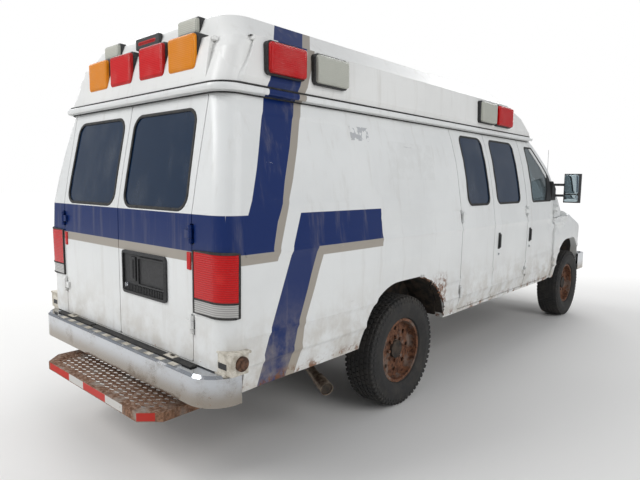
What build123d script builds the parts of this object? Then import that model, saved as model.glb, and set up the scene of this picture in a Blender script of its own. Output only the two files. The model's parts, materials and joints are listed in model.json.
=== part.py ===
from build123d import *
import os

# Van-based ambulance with a raised roof, rear doors, side cargo doors and a rear step.
# Millimetres. The front faces -Y, the driver's side is +X and up is +Z.
# The origin is on the floor under the middle of the length and of the width.

# Driving dimensions
overall_length = 6030
body_half_width = 1008
wheelbase = 3505
rear_axle_y = 1242
rear_face_y = 2802
sill_z = 525
floor_z = 720
crease_z = 1190
belt_z = 1390
gutter_z = 2000
ledge_z = 2262
crown_z = 2385
wall = 75
skin = 15
seam = 6
cab_rear_gap = 4
seat_gap = 0.3
rebate_gap = 6
flange = 25
free_edge_extra = 25
glass_depth = 5
glass_thickness = 6
corner_radius = 110

tyre_radius = 386
tyre_width = 240
rim_radius = 212
rear_track = 1710
front_track = 1755
hub_bore = 62
kingpin_x = 790

rear_bumper_y = 2892
rear_bumper_low = 480
rear_bumper_top = 635
rear_bumper_front = 2705
rail_inner, rail_outer, rail_low, rail_top = 380, 450, 560, 690
rail_front_y, rail_rear_y = -2780, 2690
step_top_z = 395

# Places that follow from the driving dimensions
front_axle_y = rear_axle_y - wheelbase
nose_y = -overall_length / 2
tail_y = overall_length / 2
axle_z = tyre_radius
hinge_x = body_half_width + 6
rear_hinge_y = rear_face_y + 8
deep = 60
firewall_y = -1681
inner = wall + seat_gap
rebate = skin + rebate_gap
lamp_bulge, lamp_depth = 8, 40

# Windshield plane in side view, from the cowl up to the header
glass_low = (-2075, 1262)
glass_high = (-1196, 1990)
rake = (glass_high[0] - glass_low[0]) / (glass_high[1] - glass_low[1])
glass_shift = (1 + rake**2) ** 0.5

# Body levels: height, half width and rear face
body_levels = [
    (sill_z, body_half_width - 33, rear_face_y - 6),
    (660, body_half_width - 8, rear_face_y),
    (crease_z, body_half_width, rear_face_y),
    (belt_z, body_half_width - 22, rear_face_y - 2),
    (1560, body_half_width - 50, rear_face_y - 32),
    (1730, body_half_width - 86, rear_face_y - 66),
    (1880, body_half_width - 129, rear_face_y - 96),
    (gutter_z, body_half_width - 173, rear_face_y - 120),
]


def windshield_y(z, inset=0):
    """Where the windshield plane, moved in by inset, is at height z."""
    return glass_low[0] + rake * (z - glass_low[1]) + inset * glass_shift


def turned(points):
    """The same outline, ordered so that it runs anticlockwise."""
    following = points[1:] + points[:1]
    area = sum(a[0] * b[1] - b[0] * a[1] for a, b in zip(points, following))
    return points if area > 0 else points[::-1]


def flat_outline(points, corner=0, grow=0):
    """A flat face inside the outline, with its corners rounded and its edges moved out."""
    with BuildSketch() as outline:
        with BuildLine():
            Polyline(*turned(points), close=True)
        make_face()
        if corner:
            fillet(outline.vertices(), corner)
        if grow:
            offset(amount=grow, kind=Kind.INTERSECTION)
    return outline.sketch


def side_prism(points, x_low, x_high, corner=0, grow=0, holes=()):
    """A solid with the side-view outline (y, z), from x_low to x_high."""
    face = flat_outline(points, corner, grow)
    with BuildPart() as prism:
        with BuildSketch(Plane.YZ.offset(x_low)):
            add(face)
            for hole in holes:
                add(hole, mode=Mode.SUBTRACT)
        extrude(amount=x_high - x_low)
    return prism.part


def rear_prism(points, y_low, y_high, corner=0, grow=0):
    """A solid with the rear-view outline (x, z), from y_low to y_high."""
    face = flat_outline(points, corner, grow)
    with BuildPart() as prism:
        with BuildSketch(Plane.XZ.offset(-y_high)):
            add(face)
        extrude(amount=y_high - y_low)
    return prism.part


def block(low, high):
    """A plain box between two corners."""
    middle = [(a + b) / 2 for a, b in zip(low, high)]
    size = [b - a for a, b in zip(low, high)]
    return Pos(*middle) * Box(*size, mode=Mode.PRIVATE)


def ordered_block(low, high):
    """A box between two corners given in any order."""
    return block([min(a, b) for a, b in zip(low, high)], [max(a, b) for a, b in zip(low, high)])


def body_form(inset):
    """The closed body below the gutter, its walls moved in by inset.

    The inner forms reach past the sill and the gutter, so that they leave both open.
    """
    reach = deep if inset else 0
    levels = [(sill_z - reach, *body_levels[0][1:])] + body_levels[1:-1]
    levels.append((gutter_z + reach, *body_levels[-1][1:]))
    taper_start, taper_end, taper = -1550, -2500, 147
    with BuildPart() as form:
        for z, half, rear in levels:
            w, y, r = half - inset, rear - inset, corner_radius - inset
            with BuildSketch(Plane.XY.offset(z)):
                with BuildLine():
                    Polyline((-w, y - r), (-w, taper_start), (taper - w, taper_end),
                             (w - taper, taper_end), (w, taper_start), (w, y - r))
                    RadiusArc((w, y - r), (w - r, y), -r)
                    Line((w - r, y), (r - w, y))
                    RadiusArc((r - w, y), (-w, y - r), -r)
                make_face()
        loft(ruled=True)
        with BuildSketch(Plane.YZ.offset(-1100)):
            with BuildLine():
                Polyline(*turned(front_outline(inset, reach)), close=True)
            make_face()
        extrude(amount=2200, mode=Mode.INTERSECT)
    return form.part


def front_outline(inset, reach):
    """Side-view limits of the body form: windshield, cowl and firewall."""
    if inset:
        low = sill_z - reach - 10
        return [(windshield_y(2070, inset), 2070), (windshield_y(900, inset), 900),
                (windshield_y(900, inset), low), (2900, low), (2900, 2070)]
    return [(windshield_y(2070), 2070), glass_low, (glass_low[0], crease_z),
            (firewall_y, crease_z), (firewall_y, 500), (2900, 500), (2900, 2070)]


forms = {inset: body_form(inset) for inset in
         (-lamp_bulge, 0, glass_depth, glass_depth + glass_thickness, skin, rebate,
          lamp_depth, lamp_depth + seat_gap, wall, inner, inner + 20)}

with BuildPart() as body_shell:
    add(forms[0])
    add(forms[wall], mode=Mode.SUBTRACT)

# Wheel openings: a flat-topped arch with large corners, in side view
rear_arch_half, rear_arch_top = 525, 898
front_arch_half, front_arch_top = 505, 925


def arch_outline(axle_y, half, top, grow=0):
    """The flat outline of one wheel opening, in side view."""
    with BuildSketch() as outline:
        with BuildLine():
            Polyline((axle_y + half + grow, 300), (axle_y + half + grow, top + grow),
                     (axle_y - half - grow, top + grow), (axle_y - half - grow, 300), close=True)
        make_face()
        fillet(outline.vertices().sort_by(Axis.Y)[-2:], half * 0.75 + grow)
    return outline.sketch


def arch_prism(axle_y, half, top, x_low, x_high, grow=0):
    """The space of one wheel opening between two places across the body."""
    face = arch_outline(axle_y, half, top, grow)
    with BuildPart() as prism:
        with BuildSketch(Plane.YZ.offset(x_low)):
            add(face)
        extrude(amount=x_high - x_low)
    return prism.part


# Doors in side view. Each cargo door has its hinge at its outer end.
door_low, door_top = 555, 1972
cab_door_front, cab_seam, cargo_seam, cargo_rear = -1678, -848, -93, 507
half_seam = seam / 2
cab_rear_edge = cab_seam - half_seam - cab_rear_gap
pillar_foot_z = 1490
pillar_shift = cab_door_front + half_seam - windshield_y(pillar_foot_z)
cab_outline = [
    (cab_door_front + half_seam, door_low),
    (cab_door_front + half_seam, pillar_foot_z),
    (windshield_y(door_top) + pillar_shift, door_top),
    (cab_rear_edge, door_top),
    (cab_rear_edge, door_low),
]


def upright_outline(start, end, low, high):
    """A rectangle (y, z) between two seams, half a seam inside each."""
    return [(start + half_seam, low), (start + half_seam, high),
            (end - half_seam, high), (end - half_seam, low)]


window_low, window_top = 1378, 1925
cab_window_front, cab_window_rear, cab_window_top, cab_frame = -1530, -998, 1910, 60
cab_window_shift = pillar_shift + cab_frame
cab_window = [
    (cab_window_front, window_low),
    (cab_window_front, glass_low[1] + (cab_window_front - cab_window_shift - glass_low[0]) / rake),
    (windshield_y(cab_window_top) + cab_window_shift, cab_window_top),
    (cab_window_rear, cab_window_top),
    (cab_window_rear, window_low),
]
# Side doors: name, side, outline, free edge (y), free side, window, window corner
side_doors = [
    ("right_cab_door", -1, cab_outline, cab_rear_edge, 1, cab_window, 30),
    ("left_cab_door", 1, cab_outline, cab_rear_edge, 1, cab_window, 30),
    ("side_door_front", -1, upright_outline(cab_seam, cargo_seam, door_low, door_top),
     cargo_seam - half_seam, 1, upright_outline(-691, -175, window_low, window_top), 60),
    ("side_door_rear", -1, upright_outline(cargo_seam, cargo_rear, door_low, door_top),
     cargo_seam + half_seam, -1, upright_outline(-21, 375, window_low, window_top), 60),
]
rear_door_low, rear_door_edge = 650, 731
rear_outline = [(half_seam, rear_door_low), (half_seam, door_top),
                (rear_door_edge, door_top), (rear_door_edge, rear_door_low)]
rear_window = [(58, 1402), (58, 1905), (655, 1905), (683, 1402)]

# Hinges sit outside the skin, so that each door swings clear of its neighbours.
# Each has a pin and two end knuckles on the pillar, and one middle knuckle on the door.
pin_radius, knuckle_radius = 6, 11
pin_clearance = 0.1
knuckle_half, hinge_half = 20, 44
notch_half, notch_depth_half = 16, 50
leaf_half, door_leaf, leaf_reach = 8, 46, 54
hinge_setback = 12
side_hinges = [
    (-1, cab_door_front, 1, "right_cab_door"),
    (1, cab_door_front, 1, "left_cab_door"),
    (-1, cab_seam + hinge_setback, 1, "side_door_front"),
    (-1, cargo_rear, -1, "side_door_rear"),
]
side_hinge_levels = (700, 1290)
rear_hinge_x = rear_door_edge + half_seam
rear_hinges = [(1, "rear_door_left"), (-1, "rear_door_right")]
rear_hinge_levels = (840, 1290)


def upright(x, y, radius, low, high):
    """A cylinder standing on its axis at (x, y)."""
    return Pos(x, y, (low + high) / 2) * Cylinder(radius, high - low, mode=Mode.PRIVATE)


def side_notches():
    """The notches that side hinges need in the skins."""
    return [ordered_block((side * (hinge_x - 114), y - notch_half, z - notch_depth_half),
                          (side * (hinge_x + 86), y + notch_half, z + notch_depth_half))
            for side, y, _, _ in side_hinges for z in side_hinge_levels]


def rear_notches():
    """The notches that the rear hinges need in doors and corner posts."""
    return [block((side * rear_hinge_x - notch_half, 2700, z - notch_depth_half),
                  (side * rear_hinge_x + notch_half, 2900, z + notch_depth_half))
            for side, _ in rear_hinges for z in rear_hinge_levels]


with BuildPart() as hinge_notches:
    for notch in side_notches() + rear_notches():
        add(notch)
    add(forms[rebate], mode=Mode.SUBTRACT)


def door_leaves(name):
    """The middle knuckles of one door, each with a leaf lying on the door's skin."""
    leaves = []
    for side, y, way, door_name in side_hinges:
        if door_name == name:
            for z in side_hinge_levels:
                low, high = z - knuckle_half, z + knuckle_half
                y_low, y_high = sorted((y, y + way * door_leaf))
                x_low, x_high = sorted((side * (hinge_x - leaf_reach), side * (hinge_x + 5)))
                with BuildPart() as leaf:
                    add(block((x_low, y_low, low), (x_high, y_high, high)))
                    add(forms[0], mode=Mode.SUBTRACT)
                    add(upright(side * hinge_x, y, knuckle_radius, low, high))
                    add(upright(side * hinge_x, y, pin_radius + pin_clearance, low, high),
                        mode=Mode.SUBTRACT)
                leaves.append(leaf.part)
    for side, door_name in rear_hinges:
        if door_name == name:
            for z in rear_hinge_levels:
                low, high = z - knuckle_half, z + knuckle_half
                x_low, x_high = sorted((side * rear_hinge_x, side * (rear_hinge_x - door_leaf)))
                with BuildPart() as leaf:
                    add(block((x_low, 2780, low), (x_high, rear_hinge_y + 5, high)))
                    add(forms[0], mode=Mode.SUBTRACT)
                    add(upright(side * rear_hinge_x, rear_hinge_y, knuckle_radius, low, high))
                    add(upright(side * rear_hinge_x, rear_hinge_y, pin_radius + pin_clearance,
                                low, high), mode=Mode.SUBTRACT)
                leaves.append(leaf.part)
    return leaves


def write_piece(piece, name):
    """Label a finished piece and write its file."""
    piece.label = name
    export_step(piece, "parts/" + name + ".step")


def finish(builder, name):
    """Write what a builder made."""
    write_piece(builder.part, name)


os.makedirs("parts", exist_ok=True)

# The side and rear doors, each a thin flange over the jamb and a deep pan inside it
rear_edge_x = 1100
for name, side, outline, free_y, free_dir, window, window_corner in side_doors:
    x_low, x_high = sorted((side * 500, side * rear_edge_x))
    skin_space_of_door = side_prism(outline, x_low, x_high, corner=18)
    pan = side_prism(outline, x_low, x_high, corner=18, grow=-flange)
    strip_low, strip_high = sorted((free_y, free_y - free_dir * (flange + free_edge_extra)))
    free_strip = block((x_low, strip_low, 400), (x_high, strip_high, 2100))
    leaves = door_leaves(name)
    opening = side_prism(window, x_low, x_high, corner=window_corner)
    with BuildPart() as ring:
        add(forms[skin])
        add(skin_space_of_door, mode=Mode.INTERSECT)
        add(pan, mode=Mode.SUBTRACT)
    with BuildPart() as edge_ring:
        add(forms[skin])
        add(free_strip, mode=Mode.INTERSECT)
    with BuildPart() as door:
        add(body_shell.part)
        add(skin_space_of_door, mode=Mode.INTERSECT)
        add(ring.part, mode=Mode.SUBTRACT)
        add(edge_ring.part, mode=Mode.SUBTRACT)
        add(opening, mode=Mode.SUBTRACT)
        add(hinge_notches.part, mode=Mode.SUBTRACT)
        add(leaves)
    finish(door, name)
    pane = side_prism(window, x_low, x_high, corner=window_corner, grow=-seat_gap)
    with BuildPart() as glass:
        add(forms[glass_depth])
        add(pane, mode=Mode.INTERSECT)
        add(forms[glass_depth + glass_thickness], mode=Mode.SUBTRACT)
    finish(glass, name + "_glass")

# The drills are turned so that their seams miss the panel's own seam, or the cut is lost
plate_x, plate_z, plate_pitch, plate_hole_radius = -283, 1112, 178, 3.5
drill_length, drill_middle_depth, drill_turn = 130, 57, 200
plate_holes = [Pos(plate_x + shift, rear_face_y - drill_middle_depth, plate_z)
               * Rot(90, 0, 0) * Rot(0, 0, drill_turn) * Cylinder(plate_hole_radius, drill_length)
               for shift in (-plate_pitch / 2, plate_pitch / 2)]
for name, side in (("rear_door_left", 1), ("rear_door_right", -1)):
    outline = [(side * x, z) for x, z in rear_outline]
    window = [(side * x, z) for x, z in rear_window]
    flange_space = rear_prism(outline, 2400, 2900, corner=18)
    pan = rear_prism(outline, 2400, 2900, corner=18, grow=-flange)
    opening = rear_prism(window, 2400, 2900, corner=75)
    pane = rear_prism(window, 2400, 2900, corner=75, grow=-seat_gap)
    leaves = door_leaves(name)
    with BuildPart() as ring:
        add(forms[skin])
        add(flange_space, mode=Mode.INTERSECT)
        add(pan, mode=Mode.SUBTRACT)
    with BuildPart() as door:
        add(body_shell.part)
        add(flange_space, mode=Mode.INTERSECT)
        add(ring.part, mode=Mode.SUBTRACT)
        add(opening, mode=Mode.SUBTRACT)
        add(hinge_notches.part, mode=Mode.SUBTRACT)
        add(leaves)
    panel = door.part
    if side < 0:
        for hole in plate_holes:
            panel = panel - hole
    write_piece(panel, name)
    with BuildPart() as glass:
        add(forms[glass_depth])
        add(pane, mode=Mode.INTERSECT)
        add(forms[glass_depth + glass_thickness], mode=Mode.SUBTRACT)
    finish(glass, name + "_glass")

# Fixed hinge leaves and pins, seated on the jambs under the flanges
with BuildPart() as door_hinges:
    for side, y, way, _ in side_hinges:
        x_low, x_high = sorted((side * (hinge_x - leaf_reach - 20), side * (hinge_x + 5)))
        for z in side_hinge_levels:
            with BuildPart(mode=Mode.PRIVATE) as fixed:
                for low, high in ((z - hinge_half, z - knuckle_half - 2),
                                  (z + knuckle_half + 2, z + hinge_half)):
                    add(block((x_low, y - leaf_half, low), (x_high, y + leaf_half, high)))
                add(forms[rebate], mode=Mode.SUBTRACT)
                for low, high in ((z - hinge_half, z - knuckle_half - 2),
                                  (z + knuckle_half + 2, z + hinge_half)):
                    add(upright(side * hinge_x, y, knuckle_radius, low, high))
                add(upright(side * hinge_x, y, pin_radius, z - hinge_half, z + hinge_half))
            add(fixed.part)
    for side, _ in rear_hinges:
        for z in rear_hinge_levels:
            x = side * rear_hinge_x
            with BuildPart(mode=Mode.PRIVATE) as fixed:
                for low, high in ((z - hinge_half, z - knuckle_half - 2),
                                  (z + knuckle_half + 2, z + hinge_half)):
                    add(block((x - leaf_half, 2760, low), (x + leaf_half, rear_hinge_y + 5, high)))
                add(forms[rebate], mode=Mode.SUBTRACT)
                for low, high in ((z - hinge_half, z - knuckle_half - 2),
                                  (z + knuckle_half + 2, z + hinge_half)):
                    add(upright(x, rear_hinge_y, knuckle_radius, low, high))
                add(upright(x, rear_hinge_y, pin_radius, z - hinge_half, z + hinge_half))
            add(fixed.part)
finish(door_hinges, "door_hinges")

# Tail lamps, let into the rear corners
tail_lamp_low, tail_lamp_high, tail_lamp_front = 906, 1210, 2728
tail_lamp_inner = body_half_width - 254


def tail_lamp_space(grow):
    """The room for both tail lamps, each round its corner."""
    return [ordered_block((side * (tail_lamp_inner - grow), tail_lamp_front - grow,
                           tail_lamp_low - grow), (side * 1100, 2900, tail_lamp_high + grow))
            for side in (-1, 1)]


with BuildPart() as tail_lamps:
    for room in tail_lamp_space(0):
        add(room)
    add(forms[-lamp_bulge], mode=Mode.INTERSECT)
    add(forms[lamp_depth], mode=Mode.SUBTRACT)
finish(tail_lamps, "tail_lamps")

with BuildPart() as tail_lamp_pockets:
    for room in tail_lamp_space(seat_gap):
        add(room)
    add(forms[lamp_depth + seat_gap], mode=Mode.SUBTRACT)

# The rear bumper's room, which the body's lower rear corners leave free
bumper_room = block((-1100, rear_bumper_front - 10, 400), (1100, 3000, rear_bumper_top + seam))

# Body sides: the wall rings that the doors close, split above the middle of the cab door
split_low, split_high = -1600, -1000
behind_split = [(split_low, sill_z), (split_low, 1300), (split_high, 1800),
                (split_high, gutter_z), (2900, gutter_z), (2900, sill_z)]
before_split = [(split_low, 460), (split_low, 1300), (split_high, 1800), (split_high, 2010),
                (-2300, 2010), (-2300, 460)]
post_x = 700
cargo_outline = upright_outline(cab_seam, cargo_rear, door_low, door_top)
rear_opening = [(-rear_door_edge, rear_door_low), (-rear_door_edge, door_top),
                (rear_door_edge, door_top), (rear_door_edge, rear_door_low)]
jamb_inset = flange - 8


def door_holes(openings, grow):
    """The flat outlines of door openings, moved out by grow."""
    return [flat_outline(points, corner=18, grow=grow) for points in openings]


rear_wide = rear_prism(rear_opening, 2400, 2900, corner=18, grow=seam)
rear_narrow = rear_prism(rear_opening, 2400, 2900, corner=18, grow=-jamb_inset)


def panel_layers(region, openings, x_low, x_high, more_holes=()):
    """A wall in two layers: skin with the wide openings, then jamb with the narrow ones."""
    layers = []
    for outer, below, grow, rear_hole in ((0, rebate, seam, rear_wide),
                                          (rebate, wall, -jamb_inset, rear_narrow)):
        holes = door_holes(openings, grow) + list(more_holes)
        plate = side_prism(region, x_low, x_high, holes=holes)
        with BuildPart() as layer:
            add(plate)
            add(forms[outer], mode=Mode.INTERSECT)
            add(rear_hole, mode=Mode.SUBTRACT)
            add(forms[below], mode=Mode.SUBTRACT)
        layers.append(layer.part)
    return layers


for name, side, side_openings in (("right_body_side", -1, [cab_outline, cargo_outline]),
                                  ("left_body_side", 1, [cab_outline])):
    x_low, x_high = sorted((side * post_x, side * 1100))
    arch = arch_outline(rear_axle_y, rear_arch_half, rear_arch_top)
    layers = panel_layers(behind_split, side_openings, x_low, x_high, [arch])
    with BuildPart() as body_side:
        add(layers)
        add(tail_lamp_pockets.part, mode=Mode.SUBTRACT)
        add(bumper_room, mode=Mode.SUBTRACT)
        add(hinge_notches.part, mode=Mode.SUBTRACT)
    finish(body_side, name)

frame_region = [(2500, sill_z), (2500, gutter_z), (2900, gutter_z), (2900, sill_z)]
with BuildPart() as rear_door_frame:
    add(panel_layers(frame_region, [], -post_x, post_x))
    add(bumper_room, mode=Mode.SUBTRACT)
finish(rear_door_frame, "rear_door_frame")

# Windshield frame: pillars, header and cowl top, with the windshield seated in it
windshield_low, windshield_top, windshield_half = 1310, 1925, 800
windshield_outline = [
    (-windshield_half - 30, windshield_low), (-windshield_half + 45, windshield_top),
    (windshield_half - 45, windshield_top), (windshield_half + 30, windshield_low)]
front_region = side_prism(before_split, -1100, 1100)
windshield_hole = rear_prism(windshield_outline, -2300, -1150, corner=60)
windshield_space = rear_prism(windshield_outline, -2300, -1150, corner=60, grow=-seat_gap)
door_flanges = [side_prism(cab_outline, x_low, x_high, corner=18, grow=seam)
                for x_low, x_high in ((-1150, -500), (500, 1150))]
door_hole = side_prism(cab_outline, -1150, 1150, corner=18, grow=-jamb_inset)
with BuildPart() as flange_spaces:
    add(door_flanges)
    add(forms[0], mode=Mode.INTERSECT)
    add(forms[rebate], mode=Mode.SUBTRACT)
with BuildPart() as windshield_frame:
    add(body_shell.part)
    add(front_region, mode=Mode.INTERSECT)
    add(windshield_hole, mode=Mode.SUBTRACT)
    add(flange_spaces.part, mode=Mode.SUBTRACT)
    add(door_hole, mode=Mode.SUBTRACT)
    add(hinge_notches.part, mode=Mode.SUBTRACT)
finish(windshield_frame, "windshield_frame")

with BuildPart() as windshield:
    add(forms[glass_depth])
    add(windshield_space, mode=Mode.INTERSECT)
    add(front_region, mode=Mode.INTERSECT)
    add(forms[glass_depth + glass_thickness], mode=Mode.SUBTRACT)
finish(windshield, "windshield")

# Firewall with a shelf under the windshield, which carries the hood's hinge pins
hood_hinge_x, hood_hinge_y, hood_hinge_z = 560, -2091, 1251
hood_pin, hood_knuckle = 4.5, 8


def lengthwise_x(x_low, x_high, y, z, radius):
    """A cylinder that runs across the body, from x_low to x_high."""
    return Pos((x_low + x_high) / 2, y, z) * Rot(0, 90, 0) * Cylinder(
        radius, x_high - x_low, mode=Mode.PRIVATE)


cowl_front, cowl_half = -2070, 850
cowl_outline = [(firewall_y, 530), (firewall_y, 1040), (cowl_front, 1162),
                (cowl_front, crease_z - seat_gap), (cowl_front + 30, crease_z - seat_gap),
                (firewall_y + 26, 1070), (firewall_y + 26, 530)]
engine_half, engine_top = 300, 1010
cowl_space = side_prism(cowl_outline, -1100, 1100)
with BuildPart() as firewall:
    add(cowl_space)
    add(forms[inner], mode=Mode.INTERSECT)
with BuildPart() as cowl_shelf:
    add(cowl_space)
    add(block((-cowl_half, -2300, 500), (cowl_half, firewall_y, 1300)), mode=Mode.INTERSECT)
with BuildPart() as cowl:
    add(firewall.part)
    add(cowl_shelf.part)
    add(block((-engine_half, -1800, 500), (engine_half, -1600, engine_top)), mode=Mode.SUBTRACT)
    add(block((-rail_outer - seat_gap, -1800, 500), (rail_outer + seat_gap, -1600, rail_top)),
        mode=Mode.SUBTRACT)
    for side in (-1, 1):
        x = side * hood_hinge_x
        add(block((x - 20, hood_hinge_y - 8, 1160), (x + 20, cowl_front + 20,
                                                     crease_z - seat_gap)))
        add(block((x - 4, hood_hinge_y - 8, 1160), (x + 4, hood_hinge_y + 8, hood_hinge_z)))
        add(lengthwise_x(x - 4, x + 4, hood_hinge_y, hood_hinge_z, hood_knuckle))
        add(lengthwise_x(x - 20, x + 20, hood_hinge_y, hood_hinge_z, hood_pin))
finish(cowl, "cowl")

# Nose stations, from the cab to the face: place, half width and top
hood_rear_z, nose_face_y = 1258, -2885
nose_stations = [
    (firewall_y, body_half_width, hood_rear_z),
    (glass_low[0], body_half_width - 8, hood_rear_z),
    (front_axle_y, body_half_width - 12, 1212),
    (-2740, body_half_width - 62, 1097),
    (-2815, body_half_width - 90, 1076),
    (-2862, body_half_width - 140, 1050),
    (nose_face_y, body_half_width - 218, 1005),
]
fender_wall, hood_thickness = 60, 32
shoulder = 70


def nose_form(inset):
    """The closed form of hood and fenders ahead of the cab, moved in by inset."""
    low = sill_z - (deep if inset else 0)
    r = shoulder - inset / 2
    with BuildPart() as form:
        for y, half, top in nose_stations:
            w, z = half - inset, top - inset
            face_shift = inset if y < front_axle_y else 0
            with BuildSketch(Plane.XZ.offset(-y - face_shift)):
                with BuildLine():
                    Polyline((r - w, z), (w - r, z))
                    RadiusArc((w - r, z), (w, z - r), r)
                    Polyline((w, z - r), (w - 8, 660), (w - 33, sill_z), (w - 33, low - 1),
                             (33 - w, low - 1), (33 - w, sill_z), (8 - w, 660), (-w, z - r))
                    RadiusArc((-w, z - r), (r - w, z), r)
                make_face()
        loft(ruled=True)
    return form.part


nose = {inset: nose_form(inset) for inset in (0, hood_thickness, fender_wall)}
hood_half, hood_seam = 800, 5
hood_rear_y = glass_low[0] - 7
hood_nose_y = -2800
with BuildPart() as hood:
    add(nose[0])
    add(nose[hood_thickness], mode=Mode.SUBTRACT)
    add(block((-hood_half, hood_nose_y, 1000), (hood_half, hood_rear_y, 1400)), mode=Mode.INTERSECT)
    for side in (-1, 1):
        x = side * hood_hinge_x
        add(block((x - 28, hood_hinge_y - 24, 1100), (x + 28, hood_rear_y + 1, 1400)),
            mode=Mode.SUBTRACT)
        for low, high in ((x - 20, x - 11), (x + 11, x + 20)):
            add(block((low, hood_hinge_y - 30, hood_hinge_z - 14),
                      (high, hood_hinge_y, hood_hinge_z)))
            add(lengthwise_x(low, high, hood_hinge_y, hood_hinge_z, hood_knuckle))
            add(lengthwise_x(low, high, hood_hinge_y, hood_hinge_z, hood_pin + pin_clearance),
                mode=Mode.SUBTRACT)
finish(hood, "hood")

fender_region = [(firewall_y - seat_gap, 460), (firewall_y - seat_gap, crease_z - 2),
                 (glass_low[0] - 2, crease_z - 2), (glass_low[0] - 2, 1400),
                 (-2900, 1400), (-2900, 460)]
fender_inner_x = hood_half + hood_seam
fender_space = (side_prism(fender_region, -1100, -fender_inner_x),
                side_prism(fender_region, fender_inner_x, 1100))
front_arches = arch_prism(front_axle_y, front_arch_half, front_arch_top, -1100, 1100)
lamp_low, lamp_high, lamp_inner, lamp_outer = 790, 985, 585, 900
with BuildPart() as front_fenders:
    add(nose[0])
    add(nose[fender_wall], mode=Mode.SUBTRACT)
    add(fender_space, mode=Mode.INTERSECT)
    add(front_arches, mode=Mode.SUBTRACT)
    add(hinge_notches.part, mode=Mode.SUBTRACT)
    for side in (-1, 1):
        low, high = sorted((side * lamp_inner, side * lamp_outer))
        add(block((low, -2900, lamp_low), (high, -2780, lamp_high)), mode=Mode.SUBTRACT)
finish(front_fenders, "front_fenders")

# Grille panel between the fenders, with a headlamp at each end
panel_half, panel_low, panel_high = fender_inner_x - 1, 640, 1110
grille_half, grille_low, grille_high = 540, 740, 1000
slot_height, slot_pitch = 34, 48
with BuildPart() as grille:
    add(nose[0])
    add(nose[fender_wall], mode=Mode.SUBTRACT)
    add(block((-panel_half, -2900, panel_low), (panel_half, hood_nose_y - seam, panel_high)),
        mode=Mode.INTERSECT)
    for side in (-1, 1):
        low, high = sorted((side * lamp_inner, side * lamp_outer))
        add(block((low, -2900, lamp_low), (high, -2780, lamp_high)), mode=Mode.SUBTRACT)
    with BuildSketch(Plane.XZ.offset(2950)):
        with Locations((0, (grille_low + grille_high) / 2)):
            with GridLocations(grille_half, slot_pitch, 2, 5):
                RectangleRounded(grille_half - 16, slot_height, 8)
    extrude(amount=-200, mode=Mode.SUBTRACT)
finish(grille, "grille")

with BuildPart() as headlamps:
    for side in (-1, 1):
        add(ordered_block((side * (lamp_inner + seat_gap), -2900, lamp_low + seat_gap),
                          (side * (lamp_outer - seat_gap), -2826, lamp_high - seat_gap)))
    add(nose[0], mode=Mode.INTERSECT)
finish(headlamps, "headlamps")

# Raised roof: a deep band with an upright wall, then a crown that leans in.
# Levels: height, half width, rear face, plan corner radius
roof_wall = 25
band_half = body_half_width - 128
band_levels = [(2012, band_half - 18, 2704, 110), (2055, band_half, 2692, 110),
               (2200, band_half - 4, 2660, 105), (ledge_z, band_half - 10, 2640, 100)]
crown_levels = [(ledge_z, band_half - 42, 2600, 110), (crown_z, band_half - 142, 2555, 120),
                (2432, band_half - 320, 2500, 120), (2446, band_half - 550, 2440, 120)]
rail_half, rail_rear, rail_front, rail_radius = band_half, 2727, -1190, 112
rail_height = 12
inside_half = rail_half - 110
roof_front = [(-1222, 1985), (-880, 2172), (-580, 2246), (-240, 2470),
              (2900, 2470), (2900, 1985)]


def roof_loft(levels, inset):
    """A ruled solid through rounded plan outlines at several levels."""
    with BuildPart() as form:
        for z, half, rear, radius in levels:
            w, y, r = half - inset, rear - inset, radius - inset
            with BuildSketch(Plane.XY.offset(z)):
                with BuildLine():
                    Polyline((-w, y - r), (-w, -1300), (w, -1300), (w, y - r))
                    RadiusArc((w, y - r), (w - r, y), -r)
                    Line((w - r, y), (r - w, y))
                    RadiusArc((r - w, y), (-w, y - r), -r)
                make_face()
        loft(ruled=True)
    return form.part


def roof_form(inset):
    """Band and crown together, cut by the stepped front."""
    drop = inset
    band = [(band_levels[0][0] - drop * 2, *band_levels[0][1:])] + band_levels[1:-1]
    band.append((band_levels[-1][0] - inset, *band_levels[-1][1:]))
    crown = [(z - inset, *rest) for z, *rest in crown_levels]
    if inset:
        crown.insert(0, (crown[0][0] - 40, *crown[0][1:]))
    front = side_prism(roof_front, -1000, 1000) if not inset else side_prism(
        [(y + inset * 1.6, z - (inset if z > 2400 else 0)) for y, z in roof_front[:4]]
        + [(2900, 2470), (2900, 1900), (-1400, 1900)], -1000, 1000)
    band_part = roof_loft(band, inset)
    crown_part = roof_loft(crown, inset)
    with BuildPart() as form:
        add(band_part)
        add(crown_part)
        add(front, mode=Mode.INTERSECT)
    return form.part


roof_outer = roof_form(0)
roof_inner = roof_form(roof_wall)
with BuildPart() as raised_roof:
    with BuildSketch(Plane.XY.offset(gutter_z)) as rail_plan:
        with BuildLine():
            Polyline((-rail_half, rail_front), (rail_half, rail_front),
                     (rail_half, rail_rear), (-rail_half, rail_rear), close=True)
        make_face()
        fillet(rail_plan.vertices().sort_by(Axis.Y)[-2:], rail_radius)
    extrude(amount=rail_height)
    with BuildSketch(Plane.XY.offset(gutter_z - 5)) as inside_plan:
        with BuildLine():
            Polyline((-inside_half, rail_front + 70), (inside_half, rail_front + 70),
                     (inside_half, 2605), (-inside_half, 2605), close=True)
        make_face()
        fillet(inside_plan.vertices().sort_by(Axis.Y)[-2:], 60)
    extrude(amount=30, mode=Mode.SUBTRACT)
    add(roof_outer)
    add(roof_inner, mode=Mode.SUBTRACT)
finish(raised_roof, "raised_roof")

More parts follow.
